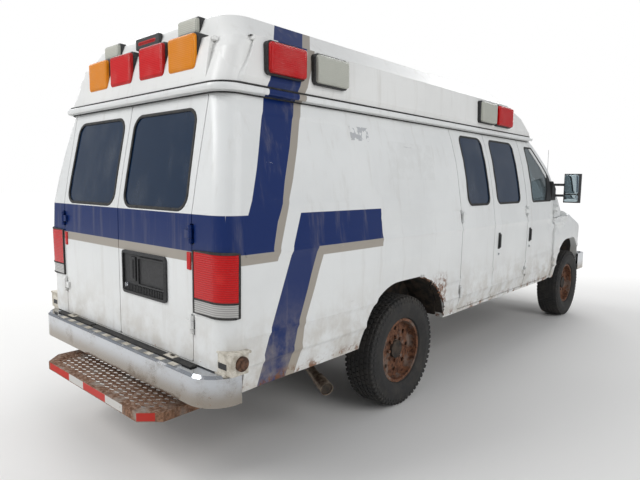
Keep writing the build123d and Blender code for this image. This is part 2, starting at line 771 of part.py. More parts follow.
# Warning lamps on the roof: low and high corners of the boxes before their backs are fitted
lamp_out = 48
side_lamp_x = band_half + lamp_out
side_lamp_back = band_half - 40
rear_lamp_y = 2640 + lamp_out
red_boxes = [((side * side_lamp_back, 2190, 2084), (side * side_lamp_x, 2455, 2240)) for side in (-1, 1)]
red_boxes += [((side * side_lamp_back, -578, 2062), (side * side_lamp_x, -262, 2234)) for side in (-1, 1)]
red_boxes += [((side * 62, 2600, 2107), (side * 304, rear_lamp_y, 2284)) for side in (-1, 1)]
red_boxes += [((-105, 2500, 2335), (105, 2592, 2372))]
amber_boxes = [((side * 356, 2600, 2107), (side * 592, rear_lamp_y, 2284)) for side in (-1, 1)]
clear_boxes = [((side * side_lamp_back, 1832, 2084), (side * side_lamp_x, 2107, 2240)) for side in (-1, 1)]
clear_boxes += [((side * side_lamp_back, -228, 2062), (side * side_lamp_x, 62, 2234)) for side in (-1, 1)]
clear_boxes += [((side * 330, 2480, 2312), (side * 510, 2600, 2400)) for side in (-1, 1)]


for name, boxes in (("red_lamps", red_boxes), ("amber_lamps", amber_boxes),
                    ("clear_lamps", clear_boxes)):
    with BuildPart() as lamps:
        for low, high in boxes:
            add(ordered_block(low, high))
        add(roof_outer, mode=Mode.SUBTRACT)
    finish(lamps, name)

with BuildPart() as light_bar:
    add(block((-520, -770, 2150), (520, -640, 2290)))
    add(roof_outer, mode=Mode.SUBTRACT)
finish(light_bar, "light_bar")

# Bumpers
bumper_wall = 8
rear_bumper_half, rear_bumper_radius = body_half_width - 18, 170


def rear_bumper_plan(inset, low, high):
    """The rear bumper's plan outline as a solid between two heights."""
    w, y, r = rear_bumper_half - inset, rear_bumper_y - inset, rear_bumper_radius - inset
    with BuildPart() as solid:
        with BuildSketch(Plane.XY.offset(low)) as plan:
            with BuildLine():
                Polyline((-w, rear_bumper_front - inset), (w, rear_bumper_front - inset), (w, y),
                         (-w, y), close=True)
            make_face()
            fillet(plan.vertices().sort_by(Axis.Y)[-2:], r)
        extrude(amount=high - low)
        if not inset:
            chamfer(solid.faces().sort_by(Axis.Z)[-1].edges().sort_by(Axis.Y)[1:], 14)
    return solid.part


with BuildPart() as rear_bumper:
    add(rear_bumper_plan(0, rear_bumper_low, rear_bumper_top))
    add(rear_bumper_plan(bumper_wall, rear_bumper_low - 1, rear_bumper_top - bumper_wall),
        mode=Mode.SUBTRACT)
    add([ordered_block((side * rail_inner, rail_rear_y + seat_gap, rail_low),
                       (side * rail_outer, rear_bumper_y - bumper_wall, rail_low + 60))
         for side in (-1, 1)])
finish(rear_bumper, "rear_bumper")

with BuildPart() as front_bumper:
    with BuildSketch(Plane.XY.offset(490)) as plan:
        with BuildLine():
            Polyline((-960, -2730), (-960, nose_y + 60), (-900, nose_y), (900, nose_y),
                     (960, nose_y + 60), (960, -2730), (940, -2730), (940, nose_y + 70),
                     (890, nose_y + 20), (-890, nose_y + 20), (-940, nose_y + 70),
                     (-940, -2730), close=True)
        make_face()
    extrude(amount=200)
    add([ordered_block((side * rail_inner, nose_y + 20, rail_low),
                       (side * rail_outer, rail_front_y - seat_gap, rail_low + 60))
         for side in (-1, 1)])
finish(front_bumper, "front_bumper")

# Rear step: a channel frame with chamfered corners round a grating of staggered diamonds
step_half, step_front, step_chamfer, step_depth = 640, 2690, 95, 50
plank_margin, plank_thickness = 32, 5
diamond_long, diamond_short = 46, 22
diamond_pitch_x, diamond_pitch_y = 56, 34
step_outline = [(-step_half, step_front), (step_half, step_front),
                (step_half, tail_y - step_chamfer), (step_half - step_chamfer, tail_y),
                (step_chamfer - step_half, tail_y), (-step_half, tail_y - step_chamfer)]
arm_x, arm_width = 420, 50
with BuildPart() as rear_step:
    with BuildSketch(Plane.XY.offset(step_top_z - step_depth)) as frame_plan:
        with BuildLine():
            Polyline(*step_outline, close=True)
        make_face()
        offset(amount=-6, mode=Mode.SUBTRACT)
    extrude(amount=step_depth)
    with BuildSketch(Plane.XY.offset(step_top_z - plank_thickness)) as plank_plan:
        with BuildLine():
            Polyline(*step_outline, close=True)
        make_face()
        offset(amount=-3)
        columns = int((2 * (step_half - plank_margin)) // diamond_pitch_x)
        rows = int((tail_y - step_front - 2 * plank_margin) // diamond_pitch_y)
        middle_y = (tail_y + step_front) / 2
        for row in range(rows):
            row_y = middle_y + (row - (rows - 1) / 2) * diamond_pitch_y
            count = columns - row % 2
            reach = step_half - plank_margin - max(0, row_y - (tail_y - step_chamfer - 20))
            for column in range(count):
                x = (column - (count - 1) / 2) * diamond_pitch_x
                if abs(x) + diamond_long / 2 < reach:
                    with BuildSketch(mode=Mode.PRIVATE) as diamond:
                        with BuildLine():
                            Polyline((x - diamond_long / 2, row_y), (x, row_y - diamond_short / 2),
                                     (x + diamond_long / 2, row_y), (x, row_y + diamond_short / 2),
                                     close=True)
                        make_face()
                    add(diamond.sketch, mode=Mode.SUBTRACT)
    extrude(amount=plank_thickness)
    arms = [ordered_block((side * (arm_x - arm_width / 2), 2560, step_top_z - step_depth),
                          (side * (arm_x + arm_width / 2), step_front + 6, step_top_z - 8))
            for side in (-1, 1)]
    arms += [ordered_block((side * (arm_x - arm_width / 2), 2560, step_top_z - step_depth),
                           (side * (arm_x + arm_width / 2), 2610, rail_low)) for side in (-1, 1)]
    add(arms)
finish(rear_step, "rear_step")

# Ladder frame: two rails and the crossmembers between them
crossmembers = [(-2740, 60), (-2263, 110), (-1500, 70), (-600, 70), (500, 70), (1900, 70),
                (2640, 80)]
with BuildPart() as frame_rails:
    for side in (-1, 1):
        add(ordered_block((side * rail_inner, rail_front_y, rail_low),
                          (side * rail_outer, rail_rear_y, rail_top - seat_gap)))
    for y, depth in crossmembers:
        add(block((-rail_inner, y - depth / 2, rail_low + 10), (rail_inner, y + depth / 2, 640)))
finish(frame_rails, "frame_rails")

# Floor with a skirt round it and a wheelhouse over each rear wheel
tub_inner, tub_wall = 690, 15
floor_front = firewall_y + 26 + seat_gap
doghouse_rear = -1230
tub_outline = dict(axle_y=rear_axle_y, half=rear_arch_half, top=rear_arch_top)
tub_blanks = [arch_prism(**tub_outline, x_low=min(side * tub_inner, side * 1000),
                         x_high=max(side * tub_inner, side * 1000)) for side in (-1, 1)]
tub_hollows = [arch_prism(**tub_outline, x_low=min(side * (tub_inner + tub_wall), side * 1100),
                          x_high=max(side * (tub_inner + tub_wall), side * 1100),
                          grow=-tub_wall) for side in (-1, 1)]
with BuildPart() as floor_slab:
    add(forms[inner])
    add(block((-1100, floor_front, rail_top), (1100, 2900, floor_z)), mode=Mode.INTERSECT)
    add(block((-engine_half, -1700, 600), (engine_half, doghouse_rear - 60, 800)),
        mode=Mode.SUBTRACT)
with BuildPart() as floor_skirt:
    add(forms[inner])
    add(forms[inner + 20], mode=Mode.SUBTRACT)
    add(block((-1100, floor_front, 540), (1100, 2900, rail_top)), mode=Mode.INTERSECT)
with BuildPart() as tub_shells:
    for blank in tub_blanks:
        add(blank)
    add(forms[inner], mode=Mode.INTERSECT)
    add(block((-1100, 0, 540), (1100, 2500, 1000)), mode=Mode.INTERSECT)
with BuildPart() as floor_pan:
    add(floor_slab.part)
    add(floor_skirt.part)
    add(tub_shells.part)
    for hollow in tub_hollows:
        add(hollow, mode=Mode.SUBTRACT)
    add(bumper_room, mode=Mode.SUBTRACT)
finish(floor_pan, "floor_pan")

# Liners over the front wheels, from the engine bay out to the fenders
liner_inner, liner_wall = 470, 12
with BuildPart() as front_wheelhouses:
    for side in (-1, 1):
        x_low, x_high = sorted((side * liner_inner, side * 990))
        add(arch_prism(front_axle_y, front_arch_half, front_arch_top, x_low, x_high,
                       grow=liner_wall))
    add(nose[fender_wall], mode=Mode.INTERSECT)
    for side in (-1, 1):
        x_low, x_high = sorted((side * (liner_inner + liner_wall), side * 1100))
        add(arch_prism(front_axle_y, front_arch_half, front_arch_top, x_low, x_high),
            mode=Mode.SUBTRACT)
    add(block((-1100, -3000, 400), (1100, -1500, rail_low)), mode=Mode.SUBTRACT)
    add(block((-1100, firewall_y - seat_gap, 400), (1100, -1500, 1300)), mode=Mode.SUBTRACT)
    add(block((-620, front_axle_y - 61, 500), (620, front_axle_y + 61, 726)), mode=Mode.SUBTRACT)
finish(front_wheelhouses, "front_wheelhouses")

# Radiator in its support, behind the grille
support_half, support_high, support_y = 700, 1030, hood_nose_y - seam + seat_gap
core_half, core_high = 360, 1000
with BuildPart() as radiator:
    add(block((-support_half, support_y, rail_top), (support_half, support_y + 30, support_high)))
    add(block((-core_half, support_y + 10, rail_top), (core_half, support_y + 60, core_high)))
finish(radiator, "radiator")

# Engine, gearbox and drive shaft as one plain mass, seated on the front crossmember
diff_radius = 150
shaft_z, shaft_radius, gearbox_radius, gearbox_z = axle_z, 38, 115, 445
engine_rear = -1560
with BuildPart() as drivetrain:
    add(block((-250, -2640, 700), (250, engine_rear, 960)))
    add(block((-180, -2500, 640 + seat_gap), (180, engine_rear, 700)))
    add(block((-110, engine_rear - 140, 340), (110, engine_rear, 700)))
    with BuildSketch(Plane.XZ.offset(-engine_rear + 20)):
        with Locations((0, gearbox_z)):
            Circle(gearbox_radius)
    extrude(amount=-600)
    with BuildSketch(Plane.XZ.offset(-engine_rear - 550)):
        with Locations((0, shaft_z)):
            Circle(shaft_radius)
    extrude(amount=-(rear_axle_y - diff_radius - seat_gap - engine_rear - 550))
finish(drivetrain, "drivetrain")

# Engine cover between the seats
doghouse_half, doghouse_top = 320, 1060
with BuildPart() as engine_cover:
    with BuildSketch(Plane.YZ.offset(-doghouse_half)):
        with BuildLine():
            Polyline((firewall_y + 26 + seat_gap, floor_z + seat_gap), (doghouse_rear, floor_z
                     + seat_gap), (doghouse_rear - 50, 960), (-1500, doghouse_top),
                     (firewall_y + 26 + seat_gap, doghouse_top), close=True)
        make_face()
    extrude(amount=2 * doghouse_half)
    with BuildSketch(Plane.YZ.offset(-doghouse_half + 20)):
        with BuildLine():
            Polyline((firewall_y, 700), (doghouse_rear - 22, 700), (doghouse_rear - 68, 945),
                     (-1505, doghouse_top - 20), (firewall_y, doghouse_top - 20), close=True)
        make_face()
    extrude(amount=2 * doghouse_half - 40, mode=Mode.SUBTRACT)
finish(engine_cover, "engine_cover")

# Dashboard over the engine cover, with the steering column
dash_half = 850
dash_outline = [(-1920, 1205), (-1654, 1100), (-1654, 1062), (-1560, 1000), (-1470, 1010),
                (-1440, 1100), (-1500, 1230), (-1600, 1262), (-1900, 1262)]
column_x, column_rise, column_run = 430, 0.574, 0.819
wheel_centre = (column_x, -1400, 1200)
column_plane = Plane(origin=wheel_centre, x_dir=(1, 0, 0), z_dir=(0, column_run, column_rise))
column_radius, wheel_ring_radius, wheel_ring = 30, 195, 14
with BuildPart() as dashboard:
    add(side_prism(dash_outline, -dash_half, dash_half))
    add(forms[inner + 20], mode=Mode.INTERSECT)
    add(block((-doghouse_half - seat_gap, -1800, 900),
              (doghouse_half + seat_gap, -1300, doghouse_top + seat_gap)), mode=Mode.SUBTRACT)
    with BuildSketch(column_plane.offset(-60)):
        Circle(column_radius)
    extrude(amount=-80)
finish(dashboard, "dashboard")
with BuildPart() as steering_wheel:
    with BuildSketch(Plane(origin=wheel_centre, x_dir=(1, 0, 0),
                           z_dir=(0, -column_rise, column_run))):
        with Locations((wheel_ring_radius, 0)):
            Circle(wheel_ring)
    revolve(axis=Axis(wheel_centre, (0, column_run, column_rise)))
    with BuildSketch(column_plane.offset(seat_gap - 60)):
        Circle(column_radius + 4)
    extrude(amount=70)
    with BuildSketch(column_plane.offset(-12)):
        with PolarLocations(wheel_ring_radius / 2, 3, start_angle=90):
            Rectangle(wheel_ring_radius, 36)
    extrude(amount=18)
finish(steering_wheel, "steering_wheel")

# Front seats on their pedestals
seat_x, seat_front, seat_rear, seat_width, cushion_z = 580, -1200, -760, 470, 1000
with BuildPart() as front_seats:
    for side in (-1, 1):
        x_low, x_high = sorted((side * (seat_x - seat_width / 2),
                                side * (seat_x + seat_width / 2)))
        add(block((x_low + 60, seat_front + 60, floor_z + seat_gap),
                  (x_high - 60, seat_rear - 60, 880)))
        add(block((x_low, seat_front, 880), (x_high, seat_rear, cushion_z)))
        back = side_prism([(seat_rear - 120, cushion_z), (seat_rear - 10, cushion_z),
                           (seat_rear + 90, 1620), (seat_rear, 1620)], x_low, x_high)
        add(back)
finish(front_seats, "front_seats")

# Attendant's bench and wall cabinets in the patient space
bench_inner, bench_front, bench_rear, bench_top = 430, 560, 2600, 1170
cabinet_inner, cabinet_front, cabinet_top = 560, -400, 1900
with BuildPart() as furniture:
    add(block((-1000, bench_front, floor_z + seat_gap), (-bench_inner, bench_rear, bench_top)))
    add(block((cabinet_inner, cabinet_front, floor_z + seat_gap), (1000, bench_rear, cabinet_top)))
    add(forms[inner + 20], mode=Mode.INTERSECT)
    for blank in tub_blanks:
        add(blank, mode=Mode.SUBTRACT)
finish(furniture, "furniture")

# Rear axle: housing with its differential and hubs for the wheels
tube_radius, hub_radius = 45, hub_bore - pin_clearance
disc_offset, disc_thickness = 30, 10
hub_end = rear_track / 2 + disc_offset + 26
with BuildPart() as rear_axle:
    with BuildSketch(Plane.YZ.offset(-hub_end + 80)):
        with Locations((rear_axle_y, axle_z)):
            Circle(tube_radius)
    extrude(amount=2 * hub_end - 160)
    with BuildSketch(Plane.YZ.offset(-hub_end)):
        with Locations((rear_axle_y, axle_z)):
            Circle(hub_radius)
    extrude(amount=80)
    with BuildSketch(Plane.YZ.offset(hub_end - 80)):
        with Locations((rear_axle_y, axle_z)):
            Circle(hub_radius)
    extrude(amount=80)
    for side in (-1, 1):
        flange_x = side * (rear_track / 2 + disc_offset - disc_thickness / 2 - seat_gap)
        with BuildSketch(Plane.YZ.offset(flange_x)):
            with Locations((rear_axle_y, axle_z)):
                Circle(150)
        extrude(amount=-side * 60)
    with BuildSketch(Plane.YZ.offset(-95)):
        with Locations((rear_axle_y, axle_z)):
            Circle(diff_radius)
    extrude(amount=190)
    fillet(rear_axle.edges().filter_by(GeomType.CIRCLE).filter_by(
        lambda edge: abs(edge.radius - diff_radius) < 1 and abs(edge.center().X) < 100), 60)
finish(rear_axle, "rear_axle")

# Leaf springs: a bowed pack on each side, from a front hanger to a rear shackle
spring_x, spring_width, spring_half = 530, 65, 700
with BuildPart() as leaf_springs:
    for side in (-1, 1):
        x_low = side * spring_x - spring_width / 2
        with BuildSketch(Plane.YZ.offset(x_low)):
            with BuildLine():
                ends = ((rear_axle_y - spring_half, 520), (rear_axle_y + spring_half, 520))
                ThreePointArc(ends[0], (rear_axle_y, 434), ends[1])
                Line(ends[1], (ends[1][0], 534))
                ThreePointArc((ends[1][0], 534), (rear_axle_y, 476), (ends[0][0], 534))
                Line((ends[0][0], 534), ends[0])
            make_face()
        extrude(amount=spring_width)
        for y in (rear_axle_y - spring_half, rear_axle_y + spring_half):
            add(ordered_block((side * (rail_outer + seat_gap), y - 25, 505),
                              (side * (spring_x + spring_width / 2), y + 25, 600)))
        add(block((x_low - 8, rear_axle_y - 60, axle_z + tube_radius + seat_gap),
                  (x_low + spring_width + 8, rear_axle_y + 60, 490)))
finish(leaf_springs, "leaf_springs")

# Front axle: two beams that cross the middle, each with its kingpin and spring tower
beam_half_height, beam_half_width, boss_radius, kingpin_radius = 32, 28, 34, 16
beam_gap_y, boss_half, fork_gap = 40, 37, 42
beam_low, beam_top, spring_x_front, spring_radius = axle_z + 20, axle_z + 84, 560, 55
with BuildPart() as front_axle:
    for side in (-1, 1):
        beam_y = front_axle_y + side * beam_gap_y
        add(ordered_block((-side * 300, beam_y - beam_half_width, beam_low),
                          (side * 560, beam_y + beam_half_width, beam_top)))
        add(ordered_block((side * 520, front_axle_y - 68, axle_z - beam_half_height),
                          (side * 600, front_axle_y + 68, beam_top)))
        add(ordered_block((side * 560, front_axle_y - beam_half_width, axle_z - beam_half_height),
                          (side * kingpin_x, front_axle_y + beam_half_width,
                           axle_z + beam_half_height)))
        add(upright(side * kingpin_x, front_axle_y, boss_radius, axle_z - boss_half,
                    axle_z + boss_half))
        add(upright(side * kingpin_x, front_axle_y, kingpin_radius, axle_z - 90, axle_z + 90))
        add(ordered_block((-side * 330, beam_y - beam_half_width, beam_low),
                          (-side * 270, beam_y + beam_half_width, rail_low + 10 - seat_gap)))
        add(upright(side * spring_x_front, front_axle_y, spring_radius, beam_top, 710))
        add(ordered_block((side * (rail_outer + seat_gap), front_axle_y - 60, 620),
                          (side * (rail_outer + 16), front_axle_y + 60, 725)))
        add(ordered_block((side * (rail_outer + seat_gap), front_axle_y - 60, 705),
                          (side * (spring_x_front + 50), front_axle_y + 60, 725)))
finish(front_axle, "front_axle")

# Steering knuckles: a fork round the kingpin boss, with the spindle outside it
front_wheel_x = front_track / 2
for name, side in (("left_knuckle", 1), ("right_knuckle", -1)):
    with BuildPart() as knuckle:
        for low, high in ((axle_z + fork_gap, axle_z + 78), (axle_z - 78, axle_z - fork_gap)):
            add(ordered_block((side * (kingpin_x - 30), front_axle_y - 34, low),
                              (side * (kingpin_x + 66), front_axle_y + 34, high)))
        add(ordered_block((side * (kingpin_x + 46), front_axle_y - 42, axle_z - 78),
                          (side * (kingpin_x + 66), front_axle_y + 42, axle_z + 78)))
        flange_x = side * (front_wheel_x + disc_offset - disc_thickness / 2 - seat_gap)
        with BuildSketch(Plane.YZ.offset(side * (kingpin_x + 60))):
            with Locations((front_axle_y, axle_z)):
                Circle(50)
        extrude(amount=side * (abs(flange_x) - kingpin_x - 60))
        with BuildSketch(Plane.YZ.offset(flange_x - side * 14)):
            with Locations((front_axle_y, axle_z)):
                Circle(140)
        extrude(amount=side * 14)
        with BuildSketch(Plane.YZ.offset(flange_x)):
            with Locations((front_axle_y, axle_z)):
                Circle(hub_radius)
        extrude(amount=side * 36)
        add(upright(side * kingpin_x, front_axle_y, kingpin_radius + pin_clearance,
                    axle_z - 100, axle_z + 100), mode=Mode.SUBTRACT)
    finish(knuckle, name)

# Wheels: a pressed steel disc with eight round windows in a drop-centre rim, and its tyre
bead_width, drop_radius = 178, 188
window_radius, window_circle, window_count = 17, 148, 8
rim_profile = [(-bead_width / 2, rim_radius + 12), (-bead_width / 2, rim_radius - 7),
               (-40, rim_radius - 9), (-30, drop_radius), (20, drop_radius),
               (40, rim_radius - 9), (bead_width / 2, rim_radius - 7),
               (bead_width / 2, rim_radius + 12), (bead_width / 2 - 6, rim_radius + 12),
               (bead_width / 2 - 6, rim_radius), (44, rim_radius - 2), (24, drop_radius + 7),
               (-34, drop_radius + 7), (-44, rim_radius - 2), (-bead_width / 2 + 6, rim_radius),
               (-bead_width / 2 + 6, rim_radius + 12)]
tyre_profile = [(-82, rim_radius + seat_gap), (-82.7, rim_radius + 13),
                (-tyre_width / 2, tyre_radius - 86), (-tyre_width / 2 + 8, tyre_radius - 36),
                (-98, tyre_radius - 10), (-80, tyre_radius), (80, tyre_radius),
                (98, tyre_radius - 10), (tyre_width / 2 - 8, tyre_radius - 36),
                (tyre_width / 2, tyre_radius - 86),
                (82.7, rim_radius + 13), (82, rim_radius + seat_gap)]
wheels = [("front_left", 1, front_track / 2, front_axle_y),
          ("front_right", -1, front_track / 2, front_axle_y),
          ("rear_left", 1, rear_track / 2, rear_axle_y),
          ("rear_right", -1, rear_track / 2, rear_axle_y)]
for name, side, x, y in wheels:
    wheel_plane = Plane(origin=(side * x, y, axle_z), x_dir=(side, 0, 0), z_dir=(0, -side, 0))
    spin = Axis((side * x, y, axle_z), (1, 0, 0))
    with BuildPart() as tyre:
        with BuildSketch(wheel_plane):
            with BuildLine():
                Polyline(*turned(tyre_profile), close=True)
            make_face()
        revolve(axis=spin)
    finish(tyre, name + "_tyre")
    with BuildPart() as rim:
        with BuildSketch(wheel_plane):
            with BuildLine():
                Polyline(*turned(rim_profile), close=True)
            make_face()
        revolve(axis=spin)
        face_x = side * (x + disc_offset - disc_thickness / 2)
        with BuildSketch(Plane.YZ.offset(face_x)):
            with Locations((y, axle_z)):
                Circle(drop_radius + 5)
                Circle(hub_bore, mode=Mode.SUBTRACT)
                with PolarLocations(window_circle, window_count):
                    Circle(window_radius, mode=Mode.SUBTRACT)
        extrude(amount=side * disc_thickness)
    finish(rim, name + "_rim")

# Door mirrors: a sail on the door's front corner, two arms and a tall housing
mirror_low, mirror_high, mirror_front, mirror_rear = 1355, 1662, -1745, -1668
mirror_inner, mirror_outer = body_half_width + 52, body_half_width + 220
arm_root = body_half_width - 28
sail_points = [(-1655, 1380), (-1655, 1500), (-1560, 1580), (-1545, 1580), (-1545, 1380)]
for name, side in (("left_mirror", 1), ("right_mirror", -1)):
    x_low, x_high = sorted((side * (body_half_width - 108), side * (body_half_width - 16)))
    sail = side_prism(sail_points, x_low, x_high)
    with BuildPart() as mirror:
        add(sail)
        add(forms[0], mode=Mode.SUBTRACT)
        with BuildSketch(Plane.XY.offset(mirror_low)) as housing_plan:
            with Locations((side * (mirror_inner + mirror_outer) / 2,
                            (mirror_front + mirror_rear) / 2)):
                RectangleRounded(mirror_outer - mirror_inner, mirror_rear - mirror_front, 30)
        extrude(amount=mirror_high - mirror_low)
        for z in (1430, 1545):
            with BuildSketch(Plane.YZ.offset(side * arm_root)):
                with Locations((-1640, z)):
                    Circle(13)
            extrude(amount=mirror_inner + 25 - arm_root, dir=(side, -0.45, 0))
    finish(mirror, name)

# Fuel tank behind the axle and the exhaust on the passenger's side
with BuildPart() as fuel_tank:
    with BuildSketch(Plane.XY.offset(330)) as tank_plan:
        with Locations((0, 2030)):
            Rectangle(620, 820)
            fillet(tank_plan.vertices(), 60)
    extrude(amount=200)
    for y in (1760, 2320):
        add(block((-330, y - 20, 470), (330, y + 20, 490)))
        for side in (-1, 1):
            add(ordered_block((side * 325, y - 20, 470),
                              (side * (rail_inner - seat_gap), y + 20, rail_low + 60)))
finish(fuel_tank, "fuel_tank")
pipe_radius = 30
pipe_route = [(-250, -1500, 480), (-250, -400, 430), (-250, 700, 430), (-250, 1000, 520),
              (-250, 1480, 520), (-400, 1720, 390), (-700, 1880, 330), (-880, 1960, 305)]
with BuildPart() as exhaust:
    with BuildLine() as route:
        FilletPolyline(*pipe_route, radius=80)
    pipe_start = Vector(*pipe_route[1]) - Vector(*pipe_route[0])
    with BuildSketch(Plane(origin=pipe_route[0], z_dir=pipe_start)):
        Circle(pipe_radius)
    sweep()
    with BuildSketch(Plane.XZ.offset(300)):
        with Locations((-250, 430)):
            SlotOverall(240, 150)
    extrude(amount=-700)
    for y in (-250, 300):
        add(block((seat_gap - rail_inner, y - 10, 490), (-230, y + 10, 590)))
finish(exhaust, "exhaust")
print("built")
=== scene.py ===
# %% [markdown]
# # A van-based ambulance with a raised roof
# The real one is a pressed steel van body with a moulded roof shell bolted over a hole in
# its roof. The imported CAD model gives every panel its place. This lesson dresses it: smooth
# panels, paint with its livery, glass, lamps, seals, tyres, and the marks of hard use.

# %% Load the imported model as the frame
import json
import math
import random

import bmesh
import bpy
from mathutils import Matrix, Vector, noise


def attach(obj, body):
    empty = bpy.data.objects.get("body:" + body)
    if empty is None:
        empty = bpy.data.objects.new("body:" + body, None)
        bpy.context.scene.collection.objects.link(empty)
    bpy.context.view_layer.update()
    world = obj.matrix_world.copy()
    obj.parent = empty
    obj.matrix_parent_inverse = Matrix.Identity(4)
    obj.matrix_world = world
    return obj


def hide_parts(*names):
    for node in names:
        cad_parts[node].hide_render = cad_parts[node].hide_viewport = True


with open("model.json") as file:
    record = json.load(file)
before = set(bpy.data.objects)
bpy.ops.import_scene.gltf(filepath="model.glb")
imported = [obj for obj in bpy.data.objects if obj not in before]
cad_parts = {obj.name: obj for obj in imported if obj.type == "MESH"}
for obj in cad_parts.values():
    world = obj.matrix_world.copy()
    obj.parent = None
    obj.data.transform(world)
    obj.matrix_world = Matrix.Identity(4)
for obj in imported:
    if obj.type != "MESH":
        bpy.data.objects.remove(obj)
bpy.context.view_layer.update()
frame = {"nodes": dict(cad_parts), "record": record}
nodes = frame["nodes"]
print("frame loaded:", len(nodes), "nodes")

# %% [markdown]
# ## Camera
# A photograph fixes the view. Its focal length and place were worked out from the wheelbase
# and the height of the body, so the camera is set from angles instead of being aimed by eye.

# %% Camera
image_width, focal_pixels = 640, 522.84
sensor_mm = 36
camera_place = (-2.885, 4.268, 1.548)
yaw, pitch, roll = (math.radians(angle) for angle in (41.851, 6.334, 0.607))
ahead = Vector((math.sin(yaw) * math.cos(pitch), -math.cos(yaw) * math.cos(pitch),
                -math.sin(pitch)))
level = ahead.cross(Vector((0, 0, 1))).normalized()
over = level.cross(ahead)
right = level * math.cos(roll) + over * math.sin(roll)
top = over * math.cos(roll) - level * math.sin(roll)
camera_data = bpy.data.cameras.new("camera")
camera_data.sensor_width = sensor_mm
camera_data.lens = focal_pixels / image_width * sensor_mm
camera = bpy.data.objects.new("camera", camera_data)
bpy.context.scene.collection.objects.link(camera)
camera.matrix_world = Matrix.Translation(camera_place) @ Matrix(
    (right, top, -ahead)).transposed().to_4x4()
bpy.context.scene.camera = camera
print("camera lens", round(camera_data.lens, 2), "mm")

# %% [markdown]
# ## Light
# White paint shows every mistake in lighting. Large soft lamps give it slow gradients, and a
# lamp behind the vehicle keeps the rear doors a little brighter than the shaded side. The
# world is white to the camera and through glass, and a soft bluish grey to everything else.

# %% Lamps
scene = bpy.context.scene
scene.view_settings.view_transform = "Standard"


def soft_lamp(name, place, target, size, power):
    """A square area lamp that faces its target."""
    lamp = bpy.data.lights.new(name, "AREA")
    lamp.size = size
    lamp.energy = power
    holder = bpy.data.objects.new(name, lamp)
    scene.collection.objects.link(holder)
    aim = (Vector(target) - Vector(place)).to_track_quat("-Z", "Y")
    holder.matrix_world = Matrix.LocRotScale(Vector(place), aim, Vector((1, 1, 1)))


soft_lamp("key_lamp", (4.5, 9.5, 7.5), (0, 1, 1), 5, 640)
soft_lamp("side_lamp", (-9, 1.5, 6), (0, 0, 1), 6, 330)
soft_lamp("front_lamp", (2, -10, 6), (0, -1, 1), 6, 600)
soft_lamp("left_lamp", (9, -1, 6), (0, 0, 1), 6, 420)

print("lamps:", len(bpy.data.lights))

# %% World
world = bpy.data.worlds.new("studio")
scene.world = world
world.use_nodes = True
sky = world.node_tree
sky_light = sky.nodes["Background"]
sky_colour, sky_strength = (0.92, 0.95, 1, 1), 0.42
sky_light.inputs["Color"].default_value = sky_colour
sky_light.inputs["Strength"].default_value = sky_strength
sky_seen = sky.nodes.new("ShaderNodeBackground")
sky_seen.inputs["Color"].default_value = (1, 1, 1, 1)
rays = sky.nodes.new("ShaderNodeLightPath")
most = sky.nodes.new("ShaderNodeMath")
most.operation = "MAXIMUM"
sky.links.new(rays.outputs["Is Camera Ray"], most.inputs[0])
sky.links.new(rays.outputs["Is Transmission Ray"], most.inputs[1])
choose = sky.nodes.new("ShaderNodeMixShader")
sky.links.new(most.outputs[0], choose.inputs[0])
sky.links.new(sky_light.outputs[0], choose.inputs[1])
sky.links.new(sky_seen.outputs[0], choose.inputs[2])
sky.links.new(choose.outputs[0], sky.nodes["World Output"].inputs["Surface"])
print("world strength", sky_strength)

# %% [markdown]
# ## Recipes for materials
# Each finish is a small node tree. Writing the nodes out every time would hide the idea, so
# one helper class adds noise, thresholds, mixes and bumps with a word each. All patterns read
# Object coordinates, which are metres here, so a noise scale of 10 gives marks of about 0.1 m.


